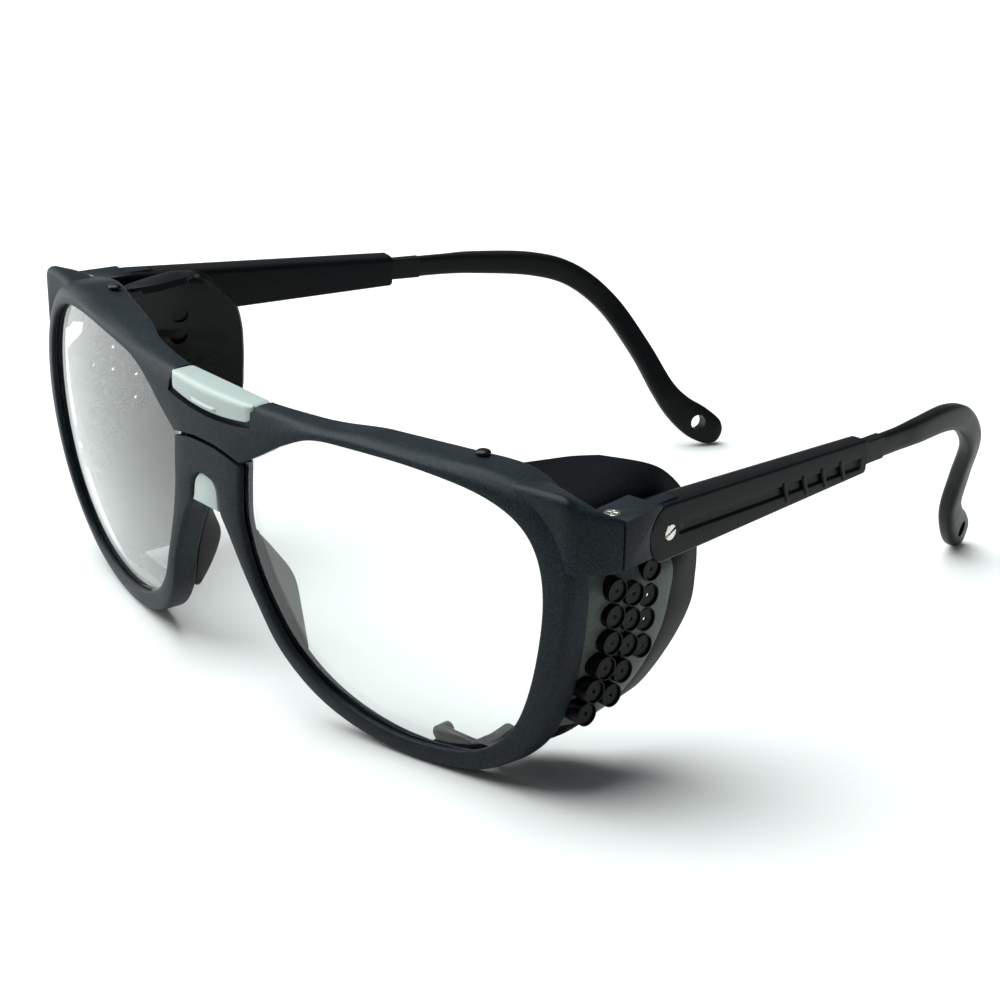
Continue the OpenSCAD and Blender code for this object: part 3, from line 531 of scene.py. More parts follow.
SHELF_DEPTHS = [BRIDGE_DEPTH] * 5 + [RIM_DEPTH] * 12 + [
    RIM_DEPTH + 1.6, SHELF_DEPTH, SHELF_DEPTH - 0.3, SHELF_DEPTH - 1.8,
    RIM_DEPTH + 1.2] + [BRIDGE_DEPTH] * 4
# Outline points between which the rim has its full depth
RIM_FROM, RIM_TO = 5, 21
LEANS = [0] * 16 + [0.4, 1.2, 1.8, 2, 1.8, 1.2, 0.6, 0.3, 0, 0]
LAST = len(OUTLINE) - 1
FIRST_TOP = len(OUTLINE) - len(OUTER_TOP)


def opening(s):
    """Lens opening: shares of its width and height along the outline, from the nose and sill."""
    p = curve(OUTLINE, s)
    return np.stack([NOSE_GAP / 2 + LENS_W * p[..., 0], SILL_Z + LENS_H * p[..., 1]], -1)


def outer_points():
    """Outer edge: given places by the middle and brow, else the opening moved outward."""
    i = np.arange(LAST + 1)
    t = unit(opening(np.minimum(i + 0.5, LAST)) - opening(np.maximum(i - 0.5, 0)))
    out = opening(i) + np.array(RIM_WIDTHS)[:, None] * np.stack([t[:, 1], -t[:, 0]], -1)
    out[:len(OUTER_LOW)] = OUTER_LOW
    out[FIRST_TOP:] = OUTER_TOP
    return out


OUTER_POINTS = outer_points()


def outer(s):
    """Outer edge: a cubic through its points, with the notch's top as a quarter of an oval."""
    s = np.asarray(s, float)
    q = curve(OUTER_POINTS, s)
    turn = np.clip((s - 2) / 2, 0, 1) * np.pi / 2
    arch = np.stack([NOTCH_HALF * np.sin(turn), NOTCH_TOP - NOTCH_ARCH * (1 - np.cos(turn))], -1)
    q = np.where(((s >= 2) & (s <= 4))[..., None], arch, q)
    return np.stack([np.maximum(q[..., 0], 0), np.minimum(q[..., 1], BROW_Z)], -1)


# Clip: the height at which the front surface sets its face, how far it stands proud of that, how
# far its face bows and its hem rises at the ends, and half its tail's width
CLIP_FACE_Z, CLIP_PROUD, CLIP_BOW, HEM_RISE, TAIL_HALF = 47.5, 0.1, 0.75, 0.95, 2.4
CLIP_FRONT = float(front_y(0, CLIP_FACE_Z)) - CLIP_PROUD
CLIP_BACK = CLIP_FRONT + CLIP_DEPTH
CLIP_TOP = BROW_Z - 0.9
SEAT_TOP = CLIP_TOP - CLIP_T - LENS_GAP


def clip_sag(x):
    """The clip's front face bows forward: it falls back with the square of the distance."""
    return CLIP_BOW * (x / (CLIP_W / 2)) ** 2


def clip_hem(x):
    """Lower edge of the clip's front lip, lowest in the middle."""
    return CLIP_TOP - CLIP_LIP + HEM_RISE * (x / (CLIP_W / 2)) ** 2


def front_sections(s):
    """Sections of the front along s: twelve corners of the rim's profile, from the lens edge over
    the face, the outer edge, the shelf, the rear and the lens groove, rounded at each corner."""
    p, q = opening(s), outer(s)
    w = np.linalg.norm(q - p, axis=-1)
    d = (q - p) / w[:, None]
    middle = (s <= 2) | (s >= FIRST_TOP + 1)
    back = np.where((s < RIM_FROM) | (s > RIM_TO), BRIDGE_DEPTH, RIM_DEPTH)
    deep = np.maximum(curve(SHELF_DEPTHS, s)[:, 0], back)
    fall = np.where(middle, 0, SHELF_FALL * np.maximum(0, deep - back - 0.6))
    lean = curve(LEANS, s)[:, 0]
    near_slit = np.maximum(0, np.maximum(1 - s, 1 - (LAST - s)))
    side = 1.0 - middle

    def place(f, y):
        """Places f out from the lens edge and y behind the front surface. A lean moves them back
        by the square of f's share, less to the rear, and by the slit half a sine raises them."""
        f, y = np.broadcast_to(f, w.shape), np.broadcast_to(y, w.shape)
        g = p + d * f[:, None]
        tip = (np.maximum(0, f - GROOVE_D) / (w - GROOVE_D)) ** 2 * np.maximum(0, 1 - y / 4)
        return np.stack([g[:, 0], front_y(g[:, 0], g[:, 1]) + lean * tip + y,
                         g[:, 1] + SPLIT_ARCH * near_slit * np.sin(np.pi * f / w)], -1)

    back_at = LIP_T + LENS_T + 2 * LENS_GAP
    rings = np.stack([
        place(0, 0.22), place(w * 0.3, 0), place(w * 0.66, 0), place(w, 0.18 * side),
        place(w - fall, deep), place(w - fall - SHELF_T, deep), place(w - SHELF_T - 0.2, back),
        place(0, back), place(0, back_at), place(GROOVE_D, back_at), place(GROOVE_D, LIP_T),
        place(0, LIP_T)], 1)
    soft = np.clip(np.minimum(s - 2, FIRST_TOP + 1 - s) * 2, 0, 1)
    reach = np.stack(np.broadcast_arrays(
        0.75, 1.2, 1.2, 1.35 * soft, 0.7 * soft, 0.35, 0.5, 0.6, 0.08, 0.08, 0.08, 0.16), 1)
    return rounded(rings, reach, ARC)


def seat_cutter(x, low, y0, y1, high):
    """A solid along x between two depths, from its floor, which may follow x, up to high."""
    return skin(along(0, x, [(y0, low), (y1, low), (y1, high), (y0, high)]))


def clip_seat():
    """Recess of the bridge clip: in front under the bowed lip, over the top, behind the rear lip
    and behind the tail."""
    half = CLIP_W / 2 + SIDE_GAP
    x = np.linspace(-half, half, 41)
    front_floor = clip_hem(x) - 0.85
    rear_y = CLIP_BACK - CLIP_T - LENS_GAP
    rear_floor = CLIP_TOP - CLIP_LIP - 1.2
    tail_x = np.linspace(-TAIL_HALF - SIDE_GAP, TAIL_HALF + SIDE_GAP, 5)
    before, behind, above = CLIP_FRONT - 5, CLIP_BACK + 9, BROW_Z + 5
    return [
        seat_cutter(x, front_floor, before, CLIP_FRONT + CLIP_SEAT + RUN_GAP, above),
        seat_cutter(x, SEAT_TOP, before, CLIP_BACK + 5, above),
        seat_cutter(x, rear_floor, rear_y, behind, above),
        seat_cutter(tail_x, NOTCH_TOP - 6, rear_y, behind, BROW_Z)]


def half_front():
    """One half of the front, without the quads that lie on the middle plane."""
    s = np.linspace(0, LAST, LAST * 14 + 1)
    rings = front_sections(s)
    m, n, _ = rings.shape
    middle = (s <= 2) | (s >= FIRST_TOP + 1)
    keep = np.ones((m - 1, n), bool)
    wall = np.zeros(n, bool)
    wall[3 * ARC:5 * ARC - 1] = True
    keep[(middle[:-1] & middle[1:])[:, None] & wall[None, :]] = False
    return skin(rings, keep=keep)


END_BOTTOM, CREASE = -12.42, -0.95
END_ROWS = np.array([
    [[-1.8, -8, END_BOTTOM], [-4.1, -8.6, -6.72], [-10.2, -10.6, -1.72],
     [-11.2, -9.8, -1.12], [-11.8, -3.4, -1.92], [-2.4, -4, END_BOTTOM]],
    [[0, -7.8, END_BOTTOM], [-0.6, -8.3, -7.12], [-1.4, -8.9, -1.62],
     [-2.1, -8, -0.72], [-4.4, -5, -1.42], [-1.4, -3, END_BOTTOM]],
    [[1.6, -6.2, END_BOTTOM], [1.4, -6.6, -7.52], [0.6, -7.1, -2.62],
     [0, -6.2, -1.92], [-2, -3.7, -2.62], [-0.4, -2.7, END_BOTTOM]],
    [[3.1, -3.6, END_BOTTOM], [3, -3.8, -8.12], [2.7, -3.9, -3.92],
     [2.2, -3.2, -3.32], [0.2, -2.6, -3.72], [1, -2.2, END_BOTTOM]],
    [[3.65, CREASE, END_BOTTOM], [3.65, CREASE, -8.32], [3.55, CREASE, -4.92],
     [3.1, CREASE, -4.42], [1.9, CREASE, -4.47], [1.9, CREASE, END_BOTTOM]]])


def end_piece():
    """End piece: six corners carried from the rim to the crease, rounded most at the front."""
    s = np.linspace(0, 4, 49)
    rings = np.stack([curve(END_ROWS[:, k], s) for k in range(6)], 1)
    rings = rounded(rings, [0.7, 3.0, 1.2, 1.0, 0.3, 0.3], ARC)
    return skin(rings + [HINGE[0], HINGE[1], BROW_Z])


LUG_R, LUG_ROOT = EAR_R - 0.3, 4.1
LUG_LOW, LUG_HIGH = LUG_Z - LUG_H / 2, LUG_Z + LUG_H / 2
front = shaped("front_frame", half_front())
rebuild(front.data, [front.data, make_mesh("far_half", half_front(), -1)], weld, turn_out)
finish_mesh(front.data, SHARP)
for tool in clip_seat():
    cut(front, tool)
for _, side in SIDES:
    end = shaped("end", end_piece(), side)
    cut(end, planted(rod(EAR_R + SIDE_GAP, 36, 56, 48), HINGE), side)
    rebuild(front.data, [front.data, end.data])
    bpy.data.objects.remove(end)
    add_part(front, planted(rod(LUG_R, LUG_LOW, LUG_HIGH, 40), HINGE), side)
    add_part(front, block([HINGE[0] - LUG_R, HINGE[1] - LUG_ROOT, LUG_LOW],
                          [HINGE[0] + LUG_R, HINGE[1], LUG_HIGH]), side)
settle(front, "front", "frame_front", "frame", NYLON)


# Bridge clip
# Round of the clip's ends, and the rib for a fingernail: its middle, half length and height
END_R, NAIL_X, NAIL_HALF, NAIL_OUT = 1.3, -0.55, 3.15, 0.4


def clip_shell():
    """Clip: a cap's profile carried across x, its lip bowed, its hem curved and its ends rounded
    by a quarter circle in plan."""
    h = CLIP_W / 2
    x = np.concatenate([-h + END_R * (1 - np.cos(np.linspace(0, np.pi / 2, 9))),
                        np.linspace(-h + END_R, h - END_R, 60)[1:-1],
                        (h - END_R) + END_R * np.sin(np.linspace(0, np.pi / 2, 9))])
    over = np.clip((np.abs(x) - (h - END_R)) / END_R, 0, 1)
    end = END_R * (1 - np.sqrt(1 - over ** 2))
    yf = CLIP_FRONT + clip_sag(x) + end * 0.6
    hem = clip_hem(x) + end
    inner = np.maximum(CLIP_FRONT + CLIP_T, yf + 0.2)
    top = CLIP_TOP - 0.35 * end
    back, low_back = CLIP_BACK - 0.5 * end, CLIP_TOP - CLIP_LIP
    rib = NAIL_OUT * np.clip((NAIL_HALF - np.abs(x - NAIL_X)) / NAIL_OUT, 0, 1)
    pts = [(inner, hem), (yf, hem), (yf, hem + 0.42), (yf - rib, hem + 0.58),
           (yf - rib, hem + 0.86), (yf, hem + 1.02), (yf, hem + 1.6), (yf, top), (back, top),
           (back, low_back), (back - CLIP_T, low_back), (back - CLIP_T, CLIP_TOP - CLIP_T),
           (inner, CLIP_TOP - CLIP_T)]
    return skin(rounded(along(0, x, pts), [0.1, 0.3, 0.1, 0.1, 0.1, 0.1, 0.3, 1.25, 0.5]
                        + [0.3] * 4))


def clip_tail():
    """Tail behind the bridge: a rounded plate whose lower end narrows as half an oval."""
    z = np.linspace(NOTCH_TOP - 5, CLIP_TOP - 1, 60)
    past = np.clip((NOTCH_TOP - 3.4 - z) / 1.6, 0, 1)
    half = TAIL_HALF * np.sqrt(np.clip(1 - past ** 2 * 0.98, 0, 1))
    y0, y1 = CLIP_BACK - CLIP_T, CLIP_BACK
    return skin(rounded(along(2, z, [(half, y0), (half, y1), (-half, y1), (-half, y0)]), 0.25))


clip = shaped("brow_clip", joined([clip_shell(), clip_tail()]))
settle(clip, "clip", "bridge_clip", "clip", CLIP)


def insert_plug():
    """Insert: the notch's outline, drawn in by the running gap, carried from front to rear, with
    the front edge rounded by drawing the first outlines in a little more."""
    half = outer(np.linspace(2, 5, 40))
    loop = np.concatenate([half, half[:0:-1] * [-1, 1]])
    middle = np.array([0, NOTCH_TOP - 2.7])
    front_at = float(front_y(0, NOTCH_TOP)) + 0.35
    rear_at = CLIP_BACK - CLIP_T - 2 * LENS_GAP
    steps = [(front_at, 0.9), (front_at + 0.06, 0.95), (front_at + 0.25, 0.985), (rear_at, 0.985)]
    return skin(np.stack([np.insert((loop - middle) * size + middle, 1, y, axis=1)
                          for y, size in steps]))


insert = shaped("bridge_insert_plug", insert_plug())
settle(insert, "front", "bridge_insert", "clip", CLIP)


# Lenses
def lens_plate():
    """Lens: the groove's loop drawn in towards the middle in even steps, on the front surface and
    again one thickness behind it, with a small edge bevel."""
    s = np.linspace(0, LAST, 241)
    p, q = opening(s), outer(s)
    loop = p + unit(q - p) * (GROOVE_D - LENS_GAP)
    mid = np.array([NOSE_GAP / 2 + LENS_W * 0.52, SILL_Z + LENS_H * 0.52])
    k = np.concatenate([np.linspace(0.04, 0.99, 16), [1.0]])
    g = mid + (loop[None] - mid) * k[:, None, None]
    at = LIP_T + LENS_GAP
    bevel = np.where(k == 1.0, 0.12, 0.0)[:, None]
    y = front_y(g[..., 0], g[..., 1])
    front_side = np.stack([g[..., 0], y + at + bevel, g[..., 1]], -1)
    rear_side = np.stack([g[..., 0], y + at + LENS_T - bevel, g[..., 1]], -1)
    return skin(np.concatenate([front_side, rear_side[::-1]]))


for word, side in SIDES:
    lens = shaped(f"lens_{word}", lens_plate(), side, SHARP_SOFT)
    settle(lens, "front", f"{word}_lens", "lens", GLASS)

# Nose pads
PAD_AT = np.array([5.4, 6.1, 6.75, 7.4, 8.1])
PAD_BACK = np.array([0.5, 2.1, 3.9, 2.9, 0.8])
PAD_RIDGE = np.array([0.45, 0.38, 0.6, 0.72, 0.8])
PAD_NOSE = np.array([0.8, 0.92, 0.94, 0.94, 0.94])


def pad_corner(share, back):
    """Places behind the rim, a share of the way from the opening to the outer edge."""
    p = opening(PAD_AT)
    g = p + (outer(PAD_AT) - p) * np.broadcast_to(share, PAD_AT.shape)[:, None]
    return np.stack([g[:, 0], front_y(g[:, 0], g[:, 1]) + RIM_DEPTH + back, g[:, 1]], -1)


PAD_ROWS = np.stack([
    pad_corner(PAD_NOSE, RUN_GAP), pad_corner(PAD_RIDGE + 0.2, PAD_BACK),
    pad_corner(PAD_RIDGE - 0.2, PAD_BACK), pad_corner(0.08, RUN_GAP)], 1)


def nose_pad():
    """Nose pad: four corners carried down the nose, joined behind by a closed cubic and in front
    by a straight side, and drawn in to a point by a quarter circle at each end."""
    s = np.linspace(0, 4, 81)
    corners = np.stack([curve(PAD_ROWS[:, k], s) for k in range(4)], 1)
    t = np.linspace(0, 4, 40, endpoint=False)
    i, f = np.floor(t).astype(int), (t % 1)[None, :, None]
    a, b, c, d = (corners[:, (i + o) % 4] for o in (-1, 0, 1, 2))
    rings = np.where((i == 3)[None, :, None], b + (c - b) * f, cubic(a, b, c, d, f))
    close = np.clip(np.minimum(s, 4 - s) / 0.3, 0, 1)
    size = np.sqrt(np.clip(1 - (1 - close) ** 2, 1e-6, 1))[:, None, None]
    centre = rings.mean(1, keepdims=True)
    return skin(centre + (rings - centre) * size)


for word, side in SIDES:
    pad = shaped(f"pad_{word}", nose_pad(), side, SHARP_PAD)
    settle(pad, "front", f"{word}_nose_pad", "pad", PAD)

# Side shields
SHIELD_RIBS = np.array([
    [[49.8, 0, 49.2], [50.2, 6, 48.8], [51, 10.2, 48.6], [52.4, 14.2, 48.3]],
    [[54.6, 0, 47.4], [56.2, 8.4, 47.8], [57.4, 14.4, 47.9], [57, 19.4, 47.3]],
    [[59.6, 0, 45.4], [60.8, 8.6, 45.8], [60.6, 17, 45.5], [57.8, 23.4, 44.8]],
    [[62.4, 0, 42.4], [62.2, 9, 42.2], [61.2, 18.4, 41.4], [57.6, 27.6, 40.2]],
    [[64, 0, 37.5], [63.7, 8.6, 37.3], [62.5, 18.6, 36.7], [57.8, 29.2, 36]],
    [[65.4, 0, 34.6], [65.9, 8, 34.2], [64.2, 18.8, 33.4], [58, 29.8, 32]],
    [[65.4, 0, 29.6], [65.9, 7.6, 29.4], [64.2, 18.3, 28.8], [58, 29.8, 27.4]],
    [[64.8, 0, 25], [65.4, 7, 24.8], [64, 17.2, 24.2], [57.8, 29.2, 22.4]],
    [[63.4, 0, 20], [64.4, 6, 19.8], [63.4, 14.6, 18.9], [57.2, 26, 16.6]],
    [[61.4, 0, 15], [62.6, 5, 14.8], [61.6, 11.4, 13.8], [55.8, 21.4, 10.8]],
    [[59, 0, 10.9], [60.2, 4, 10.9], [59.4, 8.6, 10.6], [54, 17, 8.2]],
    [[55.4, 0, 7.2], [56.4, 2.8, 7.2], [55.8, 6.8, 7], [51.4, 13.8, 5.6]],
    [[50.4, 0, 4.6], [50.8, 1.8, 4.6], [50.4, 5, 4.4], [48, 10.2, 4]],
    [[45.4, 0, 3.2], [45.4, 0.8, 3.3], [45.2, 2.6, 3.4], [44.4, 5.4, 3.6]]])


def shield_surface(i, t):
    """Shield: ribs from the rim to the turned-in rear edge, with a cubic along each rib and a
    cubic from rib to rib."""
    c = np.stack([curve(SHIELD_RIBS[:, k], i) for k in range(4)], -2)
    behind = (0.6 + 6.4 * np.maximum(0, 1 - i / 4) ** 1.5
              + 2.3 * np.clip(5 - i, 0, 1) * np.minimum(1, i / 2))
    c[..., 0, 1] = front_y(c[..., 0, 0], c[..., 0, 2]) + RIM_DEPTH + behind
    s = 3 * t
    k = np.clip(np.floor(s).astype(int), 0, 2)
    f = (s - k)[..., None]
    pick = lambda j: np.take_along_axis(c, np.clip(j, 0, 3)[..., None, None], -2)[..., 0, :]
    return cubic(pick(k - 1), pick(k), pick(k + 1), pick(k + 2), f)


SHIELD_COLS = 46
# A place inside the shield, from which outward is told
SHIELD_INSIDE = [50, 12, 28]
# The panel, whose lighter colour is painted reflection: from which rib to which, and the crease's
# share along a rib
PANEL_FROM, PANEL_TO, CREASE_SHARE = 4.35, 9.95, 2 / 3


def rounded_rim(rings, n):
    """Adds a half-round bead of points where the outer and inner surfaces meet at the edge."""
    out = [rings[:, :n]]
    a, b = rings[:, n - 1], rings[:, n]
    tip = unit(a - rings[:, n - 2]) * 0.35
    for v in (0.25, 0.5, 0.75):
        out.append((a + (b - a) * v + tip * math.sin(math.pi * v))[:, None])
    out.append(rings[:, n:])
    return np.concatenate(out, 1)


def shield_shell():
    """The shield's outer surface, and the same set inward along its normal by the wall."""
    last = len(SHIELD_RIBS) - 1
    i, t = np.meshgrid(np.linspace(0, last, 118), np.linspace(0, 1, SHIELD_COLS), indexing="ij")
    p = shield_surface(i, t)
    a = shield_surface(np.minimum(i + NEAR, last), t) - shield_surface(np.maximum(i - NEAR, 0), t)
    b = shield_surface(i, np.minimum(t + NEAR, 1)) - shield_surface(i, np.maximum(t - NEAR, 0))
    n = unit(np.cross(a, b))
    n = n * np.sign(((p - SHIELD_INSIDE) * n).sum(-1, keepdims=True))
    q = p - SHIELD_T * n
    rings = np.concatenate([p, q[:, ::-1]], 1)
    return skin(rounded_rim(rings, SHIELD_COLS))


def paint_panel_reflection(obj, side):
    """Gives the shield's outer faces the panel's material, whose lighter grey-green is painted
    reflection, up to the crease and the band's behind it: each face takes the place on the grid
    that lies nearest to its centre."""
    i, t = np.meshgrid((np.arange(260) + 0.5) / 20, (np.arange(90) + 0.5) / 90, indexing="ij")
    p = shield_surface(i, t).reshape(-1, 3)
    slots = np.where((i > PANEL_FROM) & (i < PANEL_TO) & (t < CREASE_SHARE), 1, 2).ravel()
    tree = KDTree(len(p))
    for k, place in enumerate(metres(p, side)):
        tree.insert(place, k)
    tree.balance()
    obj.data.materials.append(PAINTED_REFLECTION_PANEL)
    obj.data.materials.append(BAND)
    for face in obj.data.polygons:
        _, k, far = tree.find(face.center)
        face.material_index = int(slots[k]) if far < SHIELD_T / 2000 else 0


# Vents in each row: the rib they start at, the share along it, the step of that share, how many,
# and how far they stand out further than the first height. From vent to vent a row drops by part
# of a rib and sinks with the square of the count.
VENT_DROP, VENT_SINK, VENT_WALL, BAFFLE_R = 0.28, 0.22, 0.22, 0.3
VENT_BORE, VENT_SIDES, VENT_ROOT = VENT_R - VENT_WALL, 28, 1.6
# How far the baffle's rear and front lie below the vent's top
BAFFLE_LOW, BAFFLE_HIGH = 0.75, 0.35
VENT_ROWS = [
    [4.63, 0.49, 0, 1, 0], [5.06, 0.24, 0.127, 3, 0.05], [5.87, 0.24, 0.132, 3, 0.1],
    [6.74, 0.24, 0.145, 3, 0.5], [7.5, 0.21, 0.173, 2, 1.2], [8.25, 0.17, 0.2, 2, 1.5],
    [9.06, 0.17, 0, 1, 1.9]]
VENTS = [(shield_surface(np.array(rib + VENT_DROP * k), np.array(share + step * k)),
          out - VENT_SINK * k * k)
         for rib, share, step, count, out in VENT_ROWS for k in range(count)]


def peg():
    """Peg that holds the shield's top flange: a stem with a domed head."""
    a = np.linspace(0, np.pi / 2, 8)
    dome = np.stack([PEG_HEAD_R * np.cos(a) + 0.001,
                     PEG_TOP - PEG_DOME + PEG_DOME * np.sin(a)], -1)
    profile = np.concatenate([[[PEG_R, PEG_TOP - PEG_LEN], [PEG_R, PEG_TOP - 0.85],
                               [PEG_HEAD_R, PEG_TOP - 0.8]], dome])
    return planted(turned(profile), PEG)


# Bottom lug: the bar's end, thickness, underside and turn in plan, and the boss's radius
FOOT_END, FOOT_T, FOOT_LOW, FOOT_TURN, BOSS_R = 13, 1.2, 0.8, math.radians(7), 1.2


def shield_lug():
    """Bottom lug: a bar behind the rim that ends in a short round boss."""
    def rail(start, height, count):
        """A box from its start to the bar's end, with rounded edges."""
        x, far = np.linspace(start, FOOT_END, count), FOOT_T
        return skin(rounded(along(0, x, [(0, 0), (far, 0), (far, height), (0, height)]), 0.35, 4))

    def place(p):
        """Turns the bar in plan about its start and sets it on the foot."""
        x, y = swung(p[..., 0], p[..., 1], FOOT_TURN)
        return np.stack([x + FOOT[0], y + FOOT[1], p[..., 2] + FOOT_LOW], -1)

    boss = moved(turned([[0.9, 0], [BOSS_R, 0.2], [BOSS_R, 2.4], [0.9, 2.6]]),
                 lambda p: np.stack([p[..., 0], p[..., 2], p[..., 1] + BOSS_R], -1))
    return moved(joined([rail(0, 2.4, 14), rail(9, 3.8, 5), boss]), place)


def flange():
    """Flange that carries the peg under the brow shelf: its plan outline, raised to a plate."""
    plan = np.array([[-1.9, -1.3], [3.7, -1.3], [4.3, 1.6], [4.3, 6.6], [1.8, 6.6], [1.8, 3.3],
                     [-1.9, 3.3]]) + PEG
    low, high = PEG_TOP - 4, PEG_TOP - 2.97
    return skin(np.stack([np.insert(plan, 2, z, axis=1) for z in (low, high)]))


RECESSES = [(18.9, 38.6), (19.9, 34.2)]
RECESS_R, RECESS_DEEP = 1.55, 0.4


def recess(y, z):
    """A drill for a shallow round recess inside the shield: it stands square to the shield's
    surface at the place that is seen at (y, z) from the side."""
    i, t = np.meshgrid(np.linspace(2, 7, 200), np.linspace(0.3, 0.95, 200), indexing="ij")
    p = shield_surface(i, t)
    at = np.unravel_index(np.argmin((p[..., 1] - y) ** 2 + (p[..., 2] - z) ** 2), i.shape)
    i, t = i[at], t[at]
    place = lambda a, b: shield_surface(np.array(a), np.array(b))
    rear = unit(place(i, t + NEAR) - place(i, t - NEAR))
    out = unit(np.cross(place(i + NEAR, t) - place(i - NEAR, t), rear))
    out = out * np.sign(out[0])
    drill = rod(RECESS_R, -4 - SHIELD_T, RECESS_DEEP - SHIELD_T)
    return set_on(drill, p[at], rear, np.cross(out, rear), out)


def on_vent(part, at):
    """Lays an upright part outward at a vent's place."""
    return moved(part, lambda p: across(p) + np.asarray(at))


def vent_tube(at, out):
    """Vent: a thin collar with a dark baffle inside that leaves a small hole."""
    top = out + VENT_H
    tube = collar(VENT_R, VENT_BORE, -VENT_ROOT, top, VENT_SIDES, 0.08)
    baffle = collar(VENT_BORE + 0.02, BAFFLE_R, top - BAFFLE_LOW, top - BAFFLE_HIGH, VENT_SIDES,
                    0.05)
    return on_vent(joined([tube, baffle]), at)


for word, side in SIDES:
    shield = shaped(f"shield_{word}", shield_shell(), side, SHARP_SOFT)
    holes = joined([on_vent(rod(VENT_BORE, -4, 3, VENT_SIDES), at) for at, _ in VENTS])
    cut(shield, holes, side, SHARP_SOFT)
    for y, z in RECESSES:
        cut(shield, recess(y, z), side, SHARP_SOFT)
    add_part(shield, joined([peg(), shield_lug(), flange()]), side, SHARP_SOFT)
    settle(shield, "front", f"{word}_side_shield", "shield", SHIELD)
    paint_panel_reflection(shield, side)
    tubes = shaped(f"vents_{word}", joined([vent_tube(at, out) for at, out in VENTS]), side,
                   SHARP_SOFT)
    settle(tubes, "front", f"{word}_side_shield", "shield", VENT)
    for piece in (shield, tubes):
        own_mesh(piece)

# Hinge blocks and screws
BEVELLED = [("hinge_block", "hinge", 0.16, "temple", NYLON),
            ("hinge_screw", "hinge", 0.05, "screw", NICKEL),
            ("pivot_screw", "temple", 0.06, "screw", NICKEL)]
for word, _ in SIDES:
    for kind, body, width, slot, material in BEVELLED:
        piece = bevelled_copy(f"{word}_{kind}", f"{kind}_{word}", width)
        settle(piece, f"{word}_{body}", f"{word}_{kind}", slot, material)
    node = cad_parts[f"{word}_pivot_nut"]
    node.data.materials.clear()
    node.data.materials.append(NICKEL)

# Sleeves
CHEEK_R = SLEEVE_H / 2 + 0.4
TONGUE_R = CHEEK_R + SIDE_GAP + 0.25
SLEEVE_IN = BLOCK_OUT - SLEEVE_T
TONGUE_IN = SLEEVE_IN + CHEEK_T + SIDE_GAP
TONGUE_OUT = BLOCK_OUT - CHEEK_T - SIDE_GAP
GROOVE_FROM, GROOVE_TO, GROOVE_DEEP = 2.2, SLEEVE_LEN - 1.5, 0.42
HEAD_SEAT_R, SHANK_BORE_R, NUT_SEAT_R = 1.27, 0.76, 1.66
BAR_U = BLOCK_OUT - SLEEVE_REAR_T / 2
SLIDE = CLICK_STEP * 2
BAR_IN = 27.0
# Click rib: its top and foot, half width, height above the sleeve's face, and lean
RIB_TOP, RIB_FOOT, RIB_HALF, RIB_OUT, RIB_LEAN = 1.0, -2.75, 0.62, 0.16, 0.8


def sleeve_shell():
    """Sleeve: a rounded section along v whose height falls evenly to the rear and closes in a
    circle at the front, with a sunk channel along the outer side."""
    front_v = -CHEEK_R * np.cos(np.linspace(0.04, np.pi / 2 - 0.42, 18))
    v = np.concatenate([front_v, np.linspace(-1.7, GROOVE_FROM - 0.3, 8),
                        GROOVE_FROM + np.linspace(0, 0.5, 4),
                        np.linspace(4, GROOVE_TO - 0.8, 60),
                        GROOVE_TO - 0.5 + np.linspace(0, 0.5, 4),
                        [SLEEVE_LEN - 1, SLEEVE_LEN - 0.25, SLEEVE_LEN]])
    v = np.sort(v)
    h = np.minimum(np.where(v < 0, SLEEVE_H / 2,
                            SLEEVE_H / 2 + (SLEEVE_REAR_H - SLEEVE_H) / 2 * v / SLEEVE_LEN),
                   np.sqrt(np.maximum(CHEEK_R ** 2 - np.minimum(v, 0) ** 2, 0.02)))
    h = h - 0.25 * np.clip((v - SLEEVE_LEN + 0.25) / 0.25, 0, 1)
    inner = np.where(v < 5, SLEEVE_IN,
                     SLEEVE_IN + (SLEEVE_T - SLEEVE_REAR_T) * (v - 5) / (SLEEVE_LEN - 5))
    depth = GROOVE_DEEP * np.clip((v - GROOVE_FROM) / 0.5, 0, 1) * np.clip(
        (GROOVE_TO - v) / 0.5, 0, 1)
    share = np.clip((v - GROOVE_FROM) / (GROOVE_TO - GROOVE_FROM), 0, 1)
    high = np.minimum(0.9 - 0.8 * share, h * 0.6)
    low = np.maximum(-0.9 - 0.8 * share, -h * 0.6)
    floor_u, draft = BLOCK_OUT - depth, 0.3 * depth / GROOVE_DEEP
    pts = [(BLOCK_OUT, h), (BLOCK_OUT, high), (floor_u, high - draft), (floor_u, low + draft),
           (BLOCK_OUT, low), (BLOCK_OUT, -h), (inner, -h), (inner, h)]
    return skin(rounded(along(1, v, pts), [0.45, 0.16, 0.1, 0.1, 0.16, 0.45, 0.5, 1.1]))


def click_rib(at):
    """Click rib: a small ridge across the channel, its top nearer the front than its foot."""
    w = np.linspace(RIB_TOP, RIB_FOOT, 16)
    lead = -RIB_LEAN * (w + 0.9) / 1.8
    end = np.clip(np.minimum(RIB_TOP - w, w - RIB_FOOT) / 0.45, 0.05, 1) ** 0.5
    out, floor_u, half = BLOCK_OUT + RIB_OUT * end, BLOCK_OUT - 0.6, RIB_HALF * end
    pts = [(floor_u, at + (lead - half)), (out, at + (lead - half * 0.75)),
           (out, at + (lead + half * 0.75)), (floor_u, at + (lead + half))]
    return skin(rounded(along(2, w, pts), 0.2))


